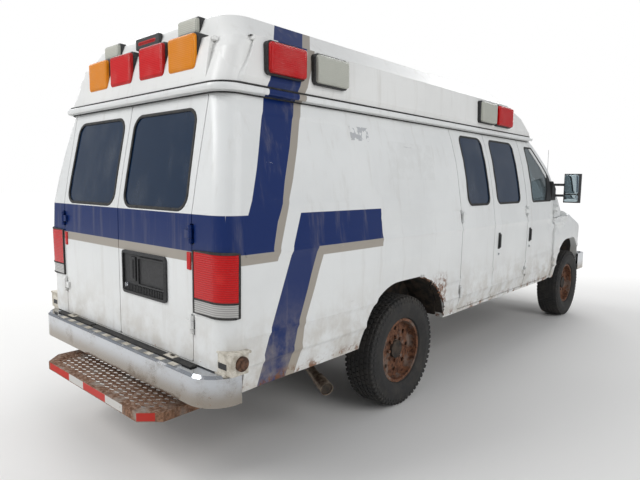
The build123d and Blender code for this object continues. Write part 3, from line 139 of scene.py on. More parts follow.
# %% The recipe helper
class Recipe:
    """One material's node tree, with short calls for the nodes used here."""

    def __init__(self, name, colour, roughness, metallic=0.0, **more):
        self.material = bpy.data.materials.new(name)
        self.material.use_nodes = True
        self.tree = self.material.node_tree
        self.shader = self.tree.nodes["Principled BSDF"]
        self.shader.inputs["Base Color"].default_value = (*colour, 1)
        self.shader.inputs["Roughness"].default_value = roughness
        self.shader.inputs["Metallic"].default_value = metallic
        for socket, value in more.items():
            self.shader.inputs[socket.replace("_", " ")].default_value = value
        self.place = self.add("ShaderNodeTexCoord").outputs["Object"]
        self.spread = None

    def add(self, kind, **settings):
        """A new node with its settings."""
        node = self.tree.nodes.new(kind)
        for key, value in settings.items():
            setattr(node, key, value)
        return node

    def feed(self, node, socket, value):
        """Put a number, a colour or another node's output into a socket."""
        if isinstance(value, bpy.types.NodeSocket):
            self.tree.links.new(value, node.inputs[socket])
        elif isinstance(value, tuple) and len(value) == 3 and node.inputs[socket].type == "RGBA":
            node.inputs[socket].default_value = (*value, 1)
        else:
            node.inputs[socket].default_value = value

    def stretched(self, scale=(1, 1, 1), shift=(0, 0, 0)):
        """Object coordinates, stretched and shifted."""
        node = self.add("ShaderNodeMapping")
        self.feed(node, "Vector", self.place)
        node.inputs["Scale"].default_value = scale
        node.inputs["Location"].default_value = shift
        return node.outputs[0]

    def noise(self, scale, detail=5.0, rough=0.55, stretch=(1, 1, 1), shift=(0, 0, 0)):
        """Cloudy noise from 0 to 1."""
        node = self.add("ShaderNodeTexNoise")
        self.feed(node, "Vector", self.stretched(stretch, shift))
        node.inputs["Scale"].default_value = scale
        node.inputs["Detail"].default_value = detail
        node.inputs["Roughness"].default_value = rough
        return node.outputs["Fac"]

    def cells(self, scale, shift=(0, 0, 0)):
        """Distance to the nearest of many scattered points."""
        node = self.add("ShaderNodeTexVoronoi")
        self.feed(node, "Vector", self.stretched(shift=shift))
        node.inputs["Scale"].default_value = scale
        return node.outputs["Distance"]

    def waves(self, scale, direction="Z"):
        """Evenly spaced ridges across one axis."""
        node = self.add("ShaderNodeTexWave", bands_direction=direction)
        self.feed(node, "Vector", self.place)
        node.inputs["Scale"].default_value = scale
        return node.outputs["Fac"]

    def ramp(self, value, low, high, start=0.0, end=1.0):
        """A smooth step from start to end as the value goes from low to high."""
        node = self.add("ShaderNodeMapRange", interpolation_type="SMOOTHSTEP")
        self.feed(node, "Value", value)
        for socket, number in (("From Min", low), ("From Max", high), ("To Min", start),
                               ("To Max", end)):
            node.inputs[socket].default_value = number
        return node.outputs[0]

    def sum(self, operation, first, second=0.0):
        """One sum on two values."""
        node = self.add("ShaderNodeMath", operation=operation)
        self.feed(node, 0, first)
        self.feed(node, 1, second)
        return node.outputs[0]

    def product(self, *values):
        """All the masks multiplied together."""
        result = values[0]
        for value in values[1:]:
            result = self.sum("MULTIPLY", result, value)
        return result

    def axis(self, letter):
        """One Object coordinate, in metres."""
        if self.spread is None:
            self.spread = self.add("ShaderNodeSeparateXYZ")
            self.feed(self.spread, 0, self.place)
        return self.spread.outputs[letter]

    def mix(self, factor, first, second):
        """The second colour over the first by the factor."""
        node = self.add("ShaderNodeMix", data_type="RGBA")
        self.feed(node, 0, factor)
        self.feed(node, 6, first)
        self.feed(node, 7, second)
        return node.outputs[2]

    def colour(self, value):
        """Use this as the base colour."""
        self.tree.links.new(value, self.shader.inputs["Base Color"])

    def roughness(self, value):
        """Use this as the roughness."""
        self.tree.links.new(value, self.shader.inputs["Roughness"])

    def bump(self, height, distance, strength=1.0):
        """Use this height, in metres times the distance, as fine relief."""
        node = self.add("ShaderNodeBump")
        self.feed(node, "Height", height)
        node.inputs["Distance"].default_value = distance
        node.inputs["Strength"].default_value = strength
        self.tree.links.new(node.outputs[0], self.shader.inputs["Normal"])

    def edge_line(self, table):
        """A stripe's edge: its place y for each height z, from a short table in metres."""
        tallest, longest = 2.5, 3.0
        node = self.add("ShaderNodeFloatCurve")
        curve = node.mapping.curves[0]
        table = sorted(table)
        while len(curve.points) < len(table):
            curve.points.new(0.5, 0.5)
        for point, (z, y) in zip(curve.points, table):
            point.location = (z / tallest, y / longest)
            point.handle_type = "VECTOR"
        node.mapping.update()
        self.feed(node, "Value", self.sum("DIVIDE", self.axis("Z"), tallest))
        return self.sum("MULTIPLY", node.outputs[0], longest)

    def above(self, value, limit, soft=0.0015):
        """1 where the value is above the limit, with a soft edge."""
        return self.ramp(self.sum("SUBTRACT", value, limit), -soft, soft)

    def below(self, value, limit, soft=0.0015):
        """1 where the value is below the limit, with a soft edge."""
        return self.ramp(self.sum("SUBTRACT", value, limit), -soft, soft, 1, 0)


# %% [markdown]
# ## White paint with the livery
# The body is old white enamel with vinyl tape: a navy band round the waist, a diagonal up the
# rear corner and a bent stripe behind the rear wheel, each with a grey pinstripe. The tape
# follows heights and lengths, so its edges are lines of y against z, and the same masks serve
# the sides and the rear doors. Over it go road dirt, drips, scratches, chips and rust.

# %% Colours and edges of the livery
paper_white = (0.80, 0.81, 0.80)
navy = (0.001, 0.018, 0.115)
tape_grey = (0.36, 0.325, 0.28)
band_low, band_high, grey_low, tape_end = 1.203, 1.387, 1.153, 1.575
outer_half, outer_rear, outer_rise = 0.955, 2.768, 1.42  # tape lies outside of these

rear_stripe_front = [(0, 2.9), (1.216, 2.509), (1.347, 2.469), (1.456, 2.412), (1.556, 2.383),
                     (1.99, 2.209), (2.036, 2.206), (2.27, 2.137), (2.45, 1.985)]
rear_stripe_back = [(0, 3.0), (1.38, 2.66), (1.456, 2.624), (1.554, 2.591), (1.99, 2.428),
                    (2.036, 2.428), (2.27, 2.352), (2.45, 2.205)]
rear_grey_front = [(0, 2.9), (1.173, 2.478), (1.399, 2.393), (1.557, 2.325), (1.99, 2.155),
                   (2.036, 2.150), (2.27, 2.076), (2.45, 1.925)]
bent_stripe_back = [(0, 2.70), (0.514, 2.597), (0.693, 2.566), (0.808, 2.526), (1.199, 2.378),
                    (1.386, 2.299), (2.45, 2.0)]
bent_stripe_front = [(0, 2.52), (0.516, 2.401), (0.686, 2.356), (0.805, 2.328), (1.203, 2.177),
                     (2.45, 2.0)]
bent_grey_front = [(0, 2.44), (0.514, 2.334), (0.65, 2.300), (0.801, 2.279), (1.156, 2.134),
                   (2.45, 2.0)]
print("waist band", round(band_high - band_low, 3), "m high")


# %% Masks of the livery
def livery(recipe):
    """Masks of the navy tape and of the grey tape."""
    y, z = recipe.axis("Y"), recipe.axis("Z")
    front = recipe.edge_line(rear_stripe_front)
    back = recipe.edge_line(rear_stripe_back)
    grey_front = recipe.edge_line(rear_grey_front)
    low_band = recipe.product(recipe.above(z, band_low), recipe.below(z, band_high))
    past_front = recipe.above(y, front)
    waist = recipe.product(low_band, past_front)
    rising = recipe.product(recipe.above(z, band_high - 0.01), past_front, recipe.below(y, back))
    bent_back = recipe.below(y, recipe.edge_line(bent_stripe_back))
    under_top = recipe.below(z, band_high)
    bent_front = recipe.above(y, recipe.edge_line(bent_stripe_front))
    forward = recipe.above(y, tape_end)
    bent = recipe.product(bent_back, under_top, forward,
                          recipe.sum("MAXIMUM", bent_front, recipe.above(z, band_low)))
    blue = recipe.sum("MAXIMUM", recipe.sum("MAXIMUM", waist, rising), bent)
    across = recipe.sum("ABSOLUTE", recipe.axis("X"))
    outside = recipe.sum("MAXIMUM", recipe.above(across, outer_half),
                         recipe.above(y, outer_rear))
    outside = recipe.sum("MAXIMUM", outside, recipe.above(z, outer_rise))
    grey_start = recipe.above(z, grey_low)
    grey_waist = recipe.product(grey_start, recipe.above(y, grey_front))
    grey_waist = recipe.product(grey_waist, recipe.sum(
        "MAXIMUM", recipe.below(z, band_low), recipe.below(y, front)))
    grey_bent = recipe.product(bent_back, forward, recipe.below(z, band_low), recipe.sum(
        "MAXIMUM", recipe.above(y, recipe.edge_line(bent_grey_front)), grey_start))
    grey = recipe.sum("MAXIMUM", grey_waist, grey_bent)
    return recipe.product(blue, outside), recipe.product(grey, outside)


# %% Wear, dirt and rust
dust, drip_brown, arch_dark = (0.42, 0.36, 0.28), (0.40, 0.36, 0.30), (0.05, 0.04, 0.033)
rust_dark, rust_light = (0.07, 0.028, 0.012), (0.32, 0.12, 0.035)
faded_grey, torn_grey = (0.70, 0.705, 0.69), (0.40, 0.41, 0.43)
scuff_grey, scratch_grey = (0.66, 0.67, 0.68), (0.30, 0.30, 0.31)


def worn(recipe, paint):
    """Faded and torn places on the right side, and scuffs, scratches and drips all over."""
    z, y = recipe.axis("Z"), recipe.axis("Y")
    right_side = recipe.below(recipe.axis("X"), 0.0)
    residue = recipe.product(recipe.above(y, 0.85), recipe.below(y, 1.42), recipe.above(z, 1.57),
                             recipe.below(z, 1.82), right_side)
    paint = recipe.mix(recipe.product(residue, recipe.ramp(recipe.noise(14, 6), 0.35, 0.6), 0.5),
                       paint, faded_grey)
    torn = recipe.product(recipe.above(y, 1.60), recipe.below(y, 1.78), recipe.above(z, 1.80),
                          recipe.below(z, 1.885), right_side,
                          recipe.ramp(recipe.noise(22, 5), 0.48, 0.5))
    paint = recipe.mix(recipe.product(torn, 0.8), paint, torn_grey)
    scuffs = recipe.ramp(recipe.noise(38, 8, 0.75, (1, 0.25, 1.6)), 0.66, 0.71)
    patches = recipe.ramp(recipe.noise(3.1, 4, 0.6, shift=(2, 1, 0)), 0.56, 0.68)
    paint = recipe.mix(recipe.product(scuffs, patches, 0.75), paint, scuff_grey)
    scratches = recipe.ramp(recipe.noise(26, 3, 0.5, (1, 0.12, 3.2), (0, 3, 1)), 0.72, 0.735)
    paint = recipe.mix(recipe.product(scratches, patches, 0.6), paint, scratch_grey)
    streaks = recipe.ramp(recipe.noise(16, 5, 0.6, (1, 1, 0.07)), 0.52, 0.8)
    return recipe.mix(recipe.product(streaks, 0.22), paint, drip_brown)


def dirtied(recipe, paint):
    """Road dirt, chips and rust low down, the inner faces of the rear arches painted near black,
    and how much dirt and rust there is.
    """
    z, y = recipe.axis("Z"), recipe.axis("Y")
    low_dirt = recipe.product(recipe.ramp(z, 0.45, 1.05, 1, 0),
                              recipe.ramp(recipe.noise(6, 7, 0.65), 0.36, 0.66))
    paint = recipe.mix(recipe.product(low_dirt, 0.62), paint, dust)
    chips = recipe.ramp(recipe.cells(21), 0.10, 0.07)
    chip_places = recipe.product(recipe.ramp(recipe.noise(4.2, 3, 0.6, shift=(5, 0, 3)), 0.62, 0.7),
                                 recipe.ramp(z, 0.95, 0.7))
    paint = recipe.mix(recipe.product(chips, chip_places), paint, rust_light)
    sill = recipe.product(recipe.ramp(z, 0.60, 0.53),
                          recipe.ramp(recipe.noise(13, 8, 0.7), 0.50, 0.60))
    ahead_of_wheel = recipe.product(recipe.ramp(y, 0.70, 0.76), recipe.ramp(y, 1.0, 0.8),
                                    recipe.ramp(z, 0.92, 0.8))
    ring = recipe.product(ahead_of_wheel, recipe.ramp(recipe.noise(24, 9, 0.7), 0.44, 0.58))
    rusting = recipe.sum("MAXIMUM", sill, ring)
    rust = recipe.mix(recipe.noise(60, 6, 0.7), rust_dark, rust_light)
    paint = recipe.mix(recipe.product(rusting, 0.9), paint, rust)
    # The inner faces of the rear wheel arches are painted near black.
    across = recipe.sum("ABSOLUTE", recipe.axis("X"))
    inner_arch = recipe.product(recipe.below(across, 0.974), recipe.above(y, 0.69),
                                recipe.below(y, 1.79), recipe.below(z, 0.935),
                                recipe.above(z, 0.56))
    return recipe.mix(inner_arch, paint, arch_dark), recipe.sum("ADD", low_dirt, rusting)


# %% White paint
def worn_white(name, base, roughness):
    """White enamel or shell with tape, dirt and wear."""
    recipe = Recipe(name, base, roughness, Coat_Weight=0.12, Coat_Roughness=0.15,
                    Specular_IOR_Level=0.35)
    cloudy = recipe.noise(1.6, 6)
    paint = recipe.mix(recipe.ramp(cloudy, 0.35, 0.7), base, tuple(0.93 * c for c in base))
    blue, grey = livery(recipe)
    paint = recipe.mix(grey, paint, tape_grey)
    paint = recipe.mix(blue, paint, navy)
    paint, grime = dirtied(recipe, worn(recipe, paint))
    recipe.colour(paint)
    recipe.roughness(recipe.ramp(grime, 0, 1, roughness, 0.85))
    relief = recipe.sum("ADD", recipe.noise(9, 3), recipe.product(recipe.noise(400, 2), 0.06))
    recipe.bump(relief, 0.0016, 0.35)
    return recipe.material


white_paint = worn_white("white_paint_finish", paper_white, 0.34)
shell_white = worn_white("white_shell_finish", (0.82, 0.82, 0.80), 0.42)
print("paint ready,", len(white_paint.node_tree.nodes), "nodes")

# %% [markdown]
# ## Glass, lenses, plastics and metals
# Dark glass is a smooth dark surface with a little light through it. A lens is clear plastic
# with ribs, and painted shade and highlight make its colour darker and lighter across each rib.
# Metals differ mostly in their roughness: chrome is nearly a mirror with rust pits, and the step
# has no plating left at all.


# %% Helpers for the other finishes
def spotted(name, dark, light, scale, roughness, metallic=0.0, bump=0.0005, **more):
    """A finish that wanders between two colours, with the same noise as relief."""
    recipe = Recipe(name, light, roughness, metallic, **more)
    grain = recipe.noise(scale, 8, 0.65)
    recipe.colour(recipe.mix(recipe.ramp(grain, 0.38, 0.62), dark, light))
    recipe.roughness(recipe.ramp(grain, 0.3, 0.7, roughness, min(1, roughness + 0.12)))
    recipe.bump(grain, bump, 0.8)
    return recipe.material


def glass_finish(name, colour, through):
    """Tinted safety glass with a film of dust."""
    recipe = Recipe(name, colour, 0.05, Transmission_Weight=through, IOR=1.5)
    film = recipe.ramp(recipe.noise(5, 7, 0.6, (1, 1, 0.5)), 0.45, 0.8)
    recipe.colour(recipe.mix(recipe.product(film, 0.2), colour, (0.22, 0.23, 0.24)))
    recipe.roughness(recipe.ramp(film, 0, 1, 0.04, 0.22))
    return recipe.material


def lens_finish(name, colour, rib_shade_colour, ribs, direction):
    """Ribbed lamp plastic, dull with age, with painted shade and highlight across its ribs."""
    recipe = Recipe(name, colour, 0.28, Coat_Weight=0.12, Specular_IOR_Level=0.25)
    rib = recipe.waves(ribs, direction)
    cross_rib = recipe.waves(ribs * 0.55, "Z" if direction != "Z" else "DIAGONAL")
    age = recipe.ramp(recipe.noise(9, 5), 0.4, 0.75)
    # Painted shade and highlight: the colour turns darker and lighter across each rib and cross
    # rib.
    shade = recipe.mix(recipe.product(rib, 0.7), rib_shade_colour, colour)
    shade = recipe.mix(recipe.product(cross_rib, 0.25), shade, rib_shade_colour)
    recipe.colour(recipe.mix(recipe.product(age, 0.05), shade, (0.75, 0.70, 0.62)))
    recipe.bump(recipe.sum("ADD", rib, recipe.product(cross_rib, 0.5)), 0.0012, 0.8)
    return recipe.material


# %% The plain finishes
dark_glass = glass_finish("dark_glass", (0.008, 0.026, 0.062), 0.12)
cab_glass = glass_finish("cab_glass", (0.30, 0.36, 0.38), 0.80)
mirror_glass = Recipe("mirror_glass", (0.55, 0.66, 0.70), 0.03, 1.0).material
red_lens = lens_finish("red_lens_finish", (0.74, 0.0, 0.003), (0.42, 0.0, 0.001), 60, "Y")
amber_lens = lens_finish("amber_lens_finish", (0.98, 0.36, 0.0), (0.70, 0.20, 0.0), 60, "X")
clear_lens = lens_finish("clear_lens_finish", (0.62, 0.62, 0.54), (0.42, 0.43, 0.38), 60, "Y")
black_plastic = spotted("black_plastic_finish", (0.012, 0.012, 0.013), (0.035, 0.035, 0.036), 90,
                        0.48, bump=0.0003)
black_rubber = spotted("black_rubber", (0.014, 0.014, 0.014), (0.045, 0.043, 0.04), 30, 0.72)
grey_plastic = spotted("grey_plastic_finish", (0.14, 0.145, 0.15), (0.22, 0.225, 0.23), 70, 0.6)
chassis_black = spotted("chassis_black_finish", (0.018, 0.016, 0.014), (0.075, 0.055, 0.04), 14,
                        0.75, 0.2)
engine_iron = spotted("engine_iron_finish", (0.05, 0.045, 0.04), (0.16, 0.14, 0.12), 18, 0.7, 0.5)
radiator_metal = spotted("radiator_finish", (0.2, 0.2, 0.2), (0.34, 0.34, 0.33), 40, 0.5, 0.7)
exhaust_steel = spotted("exhaust_finish", (0.10, 0.06, 0.04), (0.34, 0.28, 0.22), 22, 0.5, 0.7)
cast_white = spotted("cast_white", (0.40, 0.36, 0.29), (0.66, 0.62, 0.54), 26, 0.55)
brown_rubber = spotted("brown_rubber", (0.05, 0.025, 0.016), (0.15, 0.075, 0.045), 40, 0.8)
laminate = spotted("laminate_finish", (0.55, 0.53, 0.48), (0.68, 0.66, 0.60), 8, 0.45)
print("plain finishes:", len(bpy.data.materials))

# %% Chrome with pits and grime, and a painted reflection of the ground low down
recipe = Recipe("chrome_finish", (0.60, 0.62, 0.65), 0.20, 1.0)
grime = recipe.ramp(recipe.noise(7, 8, 0.65), 0.48, 0.72)
pits = recipe.ramp(recipe.noise(90, 6, 0.7), 0.63, 0.68)
plating = recipe.mix(recipe.product(grime, 0.55), (0.56, 0.58, 0.61), (0.34, 0.32, 0.29))
z = recipe.axis("Z")
# Painted reflection of the ground: below z 0.60 the plating turns browner towards the bottom.
plating = recipe.mix(recipe.ramp(z, 0.60, 0.50, 0, 0.75), plating, (0.26, 0.21, 0.15))
recipe.colour(recipe.mix(recipe.product(pits, 0.8), plating, rust_light))
recipe.roughness(recipe.ramp(grime, 0, 1, 0.10, 0.38))
recipe.bump(recipe.noise(5, 3), 0.004, 0.25)
chrome = recipe.material
print("chrome ready")

# %% Rusty step, with red and white tape along its outer edge
recipe = Recipe("step_finish", (0.30, 0.17, 0.10), 0.8, 0.25)
flakes = recipe.noise(55, 9, 0.72)
wide = recipe.noise(5, 5, 0.6, shift=(1, 4, 2))
step_rust = recipe.mix(recipe.ramp(flakes, 0.35, 0.65), (0.12, 0.055, 0.03), (0.36, 0.20, 0.12))
step_rust = recipe.mix(recipe.ramp(wide, 0.5, 0.68), step_rust, (0.34, 0.30, 0.26))
x, y, z = recipe.axis("X"), recipe.axis("Y"), recipe.axis("Z")
chamfer = recipe.product(recipe.below(x, -0.545), recipe.above(x, -0.61), recipe.above(y, 2.93))
tape = recipe.product(recipe.sum("MAXIMUM", recipe.above(y, 3.0105), chamfer),
                      recipe.above(z, 0.349), recipe.below(z, 0.392))
reds = recipe.product(recipe.below(x, -0.542), recipe.above(x, -0.675))
for low, high in ((-0.212, 0.056), (0.245, 0.525)):
    reds = recipe.sum("MAXIMUM", reds, recipe.product(recipe.above(x, low), recipe.below(x, high)))
whites = recipe.product(recipe.above(x, -0.40), recipe.below(x, 0.245))
worn_tape = recipe.product(tape, recipe.ramp(flakes, 0.30, 0.36))
top_wear = recipe.product(recipe.ramp(z, 0.390, 0.3935), recipe.ramp(flakes, 0.5, 0.6), 0.5)
step_rust = recipe.mix(top_wear, step_rust, (0.40, 0.36, 0.32))
step_rust = recipe.mix(recipe.product(worn_tape, whites, 0.95), step_rust, (0.66, 0.65, 0.62))
step_rust = recipe.mix(recipe.product(worn_tape, reds, 0.95), step_rust, (0.55, 0.03, 0.02))
recipe.colour(step_rust)
recipe.bump(flakes, 0.0012, 0.9)
step_rust_finish = recipe.material
print("step ready, its tape along the edge and the right-hand chamfer")

# %% Tyre
recipe = Recipe("tyre_finish", (0.018, 0.018, 0.018), 0.82)
mud = recipe.ramp(recipe.noise(7, 8, 0.66), 0.42, 0.72)
rubber = recipe.mix(recipe.noise(50, 5), (0.012, 0.012, 0.012), (0.035, 0.034, 0.033))
recipe.colour(recipe.mix(recipe.product(mud, 0.28), rubber, (0.10, 0.085, 0.068)))
recipe.bump(recipe.noise(160, 4), 0.0005, 0.7)
tyre_finish = recipe.material
print("tyre ready")

# %% Rim
recipe = Recipe("rim_finish", (0.2, 0.1, 0.06), 0.78, 0.3)
scale_noise = recipe.noise(42, 9, 0.72)
worn = recipe.ramp(recipe.noise(10, 5, 0.6, shift=(3, 3, 3)), 0.50, 0.62)
rim_colour = recipe.mix(recipe.ramp(scale_noise, 0.36, 0.64), (0.055, 0.024, 0.014),
                        (0.24, 0.105, 0.055))
recipe.colour(recipe.mix(recipe.product(worn, 0.6), rim_colour, (0.24, 0.20, 0.17)))
recipe.bump(scale_noise, 0.0012, 0.9)
rim_finish = recipe.material
print("rim ready")

# %% Seat cloth
recipe = Recipe("cloth_finish", (0.10, 0.11, 0.13), 0.9, Sheen_Weight=0.3)
warp, weft = recipe.waves(260, "X"), recipe.waves(260, "Z")
thread = recipe.sum("MAXIMUM", warp, weft)
recipe.colour(recipe.mix(thread, (0.05, 0.055, 0.065), (0.15, 0.16, 0.19)))
recipe.bump(thread, 0.0006, 0.8)
seat_cloth = recipe.material
print("finishes:", len(bpy.data.materials))

# %% [markdown]
# ## Floor
# A plain pale floor carries the shadow. It is a stage piece, so it isn't part of the object.
# Far from the object it fades to the white of the world, but only where the camera sees it.

# %% Floor
floor_mesh = bpy.data.meshes.new("floor")
floor_reach = 60
fade_start, fade_end = 4.5, 9.0
floor_mesh.from_pydata([(a * floor_reach, b * floor_reach, 0)
                        for a, b in ((-1, -1), (1, -1), (1, 1), (-1, 1))], [], [(0, 1, 2, 3)])
floor = bpy.data.objects.new("floor", floor_mesh)
scene.collection.objects.link(floor)
recipe = Recipe("floor_finish", (0.80, 0.79, 0.77), 0.9)
across, along = recipe.axis("X"), recipe.axis("Y")
distance = recipe.sum("SQRT", recipe.sum("ADD", recipe.product(across, across),
                                         recipe.product(along, along)))
path = recipe.tree.nodes.new("ShaderNodeLightPath")
far = recipe.product(recipe.ramp(distance, fade_start, fade_end),
                     path.outputs["Is Camera Ray"])
recipe.feed(recipe.shader, "Emission Color", (1, 1, 1, 1))
recipe.feed(recipe.shader, "Emission Strength", far)
recipe.colour(recipe.mix(far, (0.80, 0.79, 0.77), (0.0, 0.0, 0.0)))
floor_mesh.materials.append(recipe.material)
print("floor laid,", 2 * floor_reach, "m wide")

# %% [markdown]
# ## Smooth stand-ins for the CAD panels
# A CAD mesh is loose triangles, each flat. Merging its doubled corners and shading it smooth
# up to a set angle gives soft door skins and crisp edges. The CAD mesh itself stays as it is:
# the copy replaces it. The same table says which finish each panel takes.


# %% From a CAD mesh to a finished piece
def merged(node):
    """A CAD node's mesh as a joined bmesh."""
    source = nodes[node].data
    mesh = bmesh.new()
    points = [mesh.verts.new(v.co) for v in source.vertices]
    for polygon in source.polygons:
        mesh.faces.new([points[i] for i in polygon.vertices])
    bmesh.ops.remove_doubles(mesh, verts=mesh.verts, dist=1e-5)
    return mesh


def settle(mesh, name, finishes, body, replaced=(), angle=35):
    """Turn a bmesh into an object that rides on its body."""
    data = bpy.data.meshes.new(name)
    mesh.to_mesh(data)
    mesh.free()
    for finish in finishes:
        data.materials.append(finish)
    data.shade_smooth()
    data.set_sharp_from_angle(angle=math.radians(angle))
    piece = bpy.data.objects.new(name, data)
    scene.collection.objects.link(piece)
    even = piece.modifiers.new("even", "WEIGHTED_NORMAL")
    even.keep_sharp = True
    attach(piece, body)
    if replaced:
        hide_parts(*replaced)
    return piece


# %% Plain copies and their finishes
body_of = {node: body for body, members in
           frame["record"]["behaviour"]["bodies"].items() for node in members}
plain_copies = [
    ("white_paint", white_paint, ["rear_door_frame", "windshield_frame", "hood", "door_hinges",
                                  "rear_door_left", "rear_door_right"]),
    ("tinted_glass", dark_glass, ["side_door_front_glass", "side_door_rear_glass",
                                  "rear_door_left_glass", "rear_door_right_glass"]),
    ("tinted_glass", cab_glass, ["windshield", "right_cab_door_glass", "left_cab_door_glass"]),
    ("chrome", chrome, ["rear_bumper", "front_bumper"]),
    ("step_steel", step_rust_finish, ["rear_step"]),
    ("chassis_black", chassis_black, ["frame_rails", "floor_pan", "front_wheelhouses",
                                      "rear_axle", "leaf_springs", "front_axle",
                                      "left_knuckle", "right_knuckle", "fuel_tank"]),
    ("engine_iron", engine_iron, ["drivetrain"]),
    ("radiator_aluminium", radiator_metal, ["radiator"]),
    ("exhaust_steel", exhaust_steel, ["exhaust"]),
    ("grey_plastic", grey_plastic, ["dashboard", "engine_cover", "grille"]),
    ("black_plastic", black_plastic, ["cowl", "steering_wheel"]),
    ("cabinet_laminate", laminate, ["furniture"]),
    ("rusty_rim", rim_finish, ["front_left_rim", "front_right_rim", "rear_left_rim",
                               "rear_right_rim"]),
]
for slot, finish, names in plain_copies:
    for node in names:
        settle(merged(node), node + "_skin", [finish], body_of[node], [node])
print("smooth copies:", sum(len(names) for _, _, names in plain_copies))

# %% [markdown]
# ## The curved surface as functions
# Trim has to lie on the body. The body's half width and its rear face change with height, so
# short tables and a few functions give any point on the skin, and the direction in which the
# skin faces there. The seals, handles and tail lamp borders below are placed with them.

# %% Where the skin is
skin_heights = [0.525, 0.66, 1.19, 1.39, 1.56, 1.73, 1.88, 2.0]
skin_halves = [0.975, 1.0, 1.008, 0.986, 0.958, 0.922, 0.879, 0.835]
skin_rears = [2.796, 2.802, 2.802, 2.8, 2.77, 2.736, 2.706, 2.682]
taper_start, taper_rate = -1.55, 0.147 / 0.95
corner_radius, facing_step = 0.11, 0.02


def read_table(value, places, results):
    """Straight-line value between the entries of a table."""
    for a, b, start, end in zip(places, places[1:], results, results[1:]):
        if value <= b:
            share = max(0.0, (value - a) / (b - a))
            return start + (end - start) * share
    return results[-1]


def skin_half(z, y=0.0):
    """Half the body's width at a height and a place."""
    return read_table(z, skin_heights, skin_halves) - max(0, taper_start - y) * taper_rate


def skin_rear(z):
    """The rear face's y at a height."""
    return read_table(z, skin_heights, skin_rears)


print("half width at the crease", skin_half(1.19), "rear face", skin_rear(1.19))


# %% Points on the skin, and where it faces
def side_point(side, y, z, lift=0.0):
    """A point on the side wall, lifted off it."""
    return Vector((side * (skin_half(z, y) + lift), y, z))


def side_facing(side, y, z):
    """The direction that the side wall faces."""
    lean = (skin_half(z - facing_step, y) - skin_half(z + facing_step, y)) / (2 * facing_step)
    turn = -taper_rate if y < taper_start else 0.0
    return Vector((side, turn, lean)).normalized()


def rear_point(x, z):
    """A point on the rear face."""
    return Vector((x, skin_rear(z), z))


def rear_facing(z):
    """The direction that the rear face faces."""
    lean = (skin_rear(z - facing_step) - skin_rear(z + facing_step)) / (2 * facing_step)
    return Vector((0, 1, lean)).normalized()


def corner_point(side, z, y, lift=0.0):
    """The skin on the rounded rear corner at a given length, and the way that it faces."""
    half, rear = skin_half(z), skin_rear(z)
    back = min(max(y - (rear - corner_radius), 0.0) / (corner_radius + lift), 1.0)
    out = Vector((side * math.sqrt(1 - back * back), back, 0))
    centre = Vector((side * (half - corner_radius), min(y, rear - corner_radius), z))
    return centre + out * (corner_radius + lift), out


def corner_run(side, z, inner_x, front_y, lift=0.0, steps=8):
    """A level line from the rear face round the corner to the side, with its facing."""
    half, rear = skin_half(z), skin_rear(z)
    centre = Vector((side * (half - corner_radius), rear - corner_radius, z))
    last = math.acos(min(1.0, max(0.0, (front_y - centre.y) / (corner_radius + lift))))
    run = [(Vector((side * inner_x, rear + lift, z)), Vector((0, 1, 0)))]
    for i in range(steps + 1):
        turn = math.pi / 2 - last * i / steps
        out = Vector((side * math.cos(turn), math.sin(turn), 0))
        run.append((centre + out * (corner_radius + lift), out))
    return run


print("rear corner's middle", tuple(round(c, 3) for c in corner_point(1, 1.19, 2.77)[0]))

# %% [markdown]
# ## A box of shapes
# Most trim is one of four forms: a bevelled box, a swept strip, a lathe-turned ring or a stack
# of loops. One small class grows them into a single mesh, so that a whole assembly such as a
# lamp becomes one object with several finishes.


# %% Outlines and sections
def rounded(points, corner, steps=6):
    """A flat outline with its corners rounded."""
    result = []
    for before, point, after in zip(points[-1:] + points[:-1], points, points[1:] + points[:1]):
        middle = Vector(point)
        back, forth = (Vector(before) - middle).normalized(), (Vector(after) - middle).normalized()
        half = back.angle(forth) / 2
        cut = corner / math.tan(half)
        start, end = middle + back * cut, middle + forth * cut
        centre = middle + (back + forth).normalized() * corner / math.sin(half)
        for i in range(steps + 1):
            arm = (start - centre).lerp(end - centre, i / steps).normalized() * corner
            result.append(centre + arm)
    return result


def rectangle(low, high):
    """The corners of a rectangle."""
    return [(low[0], low[1]), (high[0], low[1]), (high[0], high[1]), (low[0], high[1])]


def oval(out, across, steps=8):
    """A strip's section: how far it stands out, and its width, both from the middle."""
    return [(out * math.sin(math.tau * i / steps), across * math.cos(math.tau * i / steps))
            for i in range(steps)]


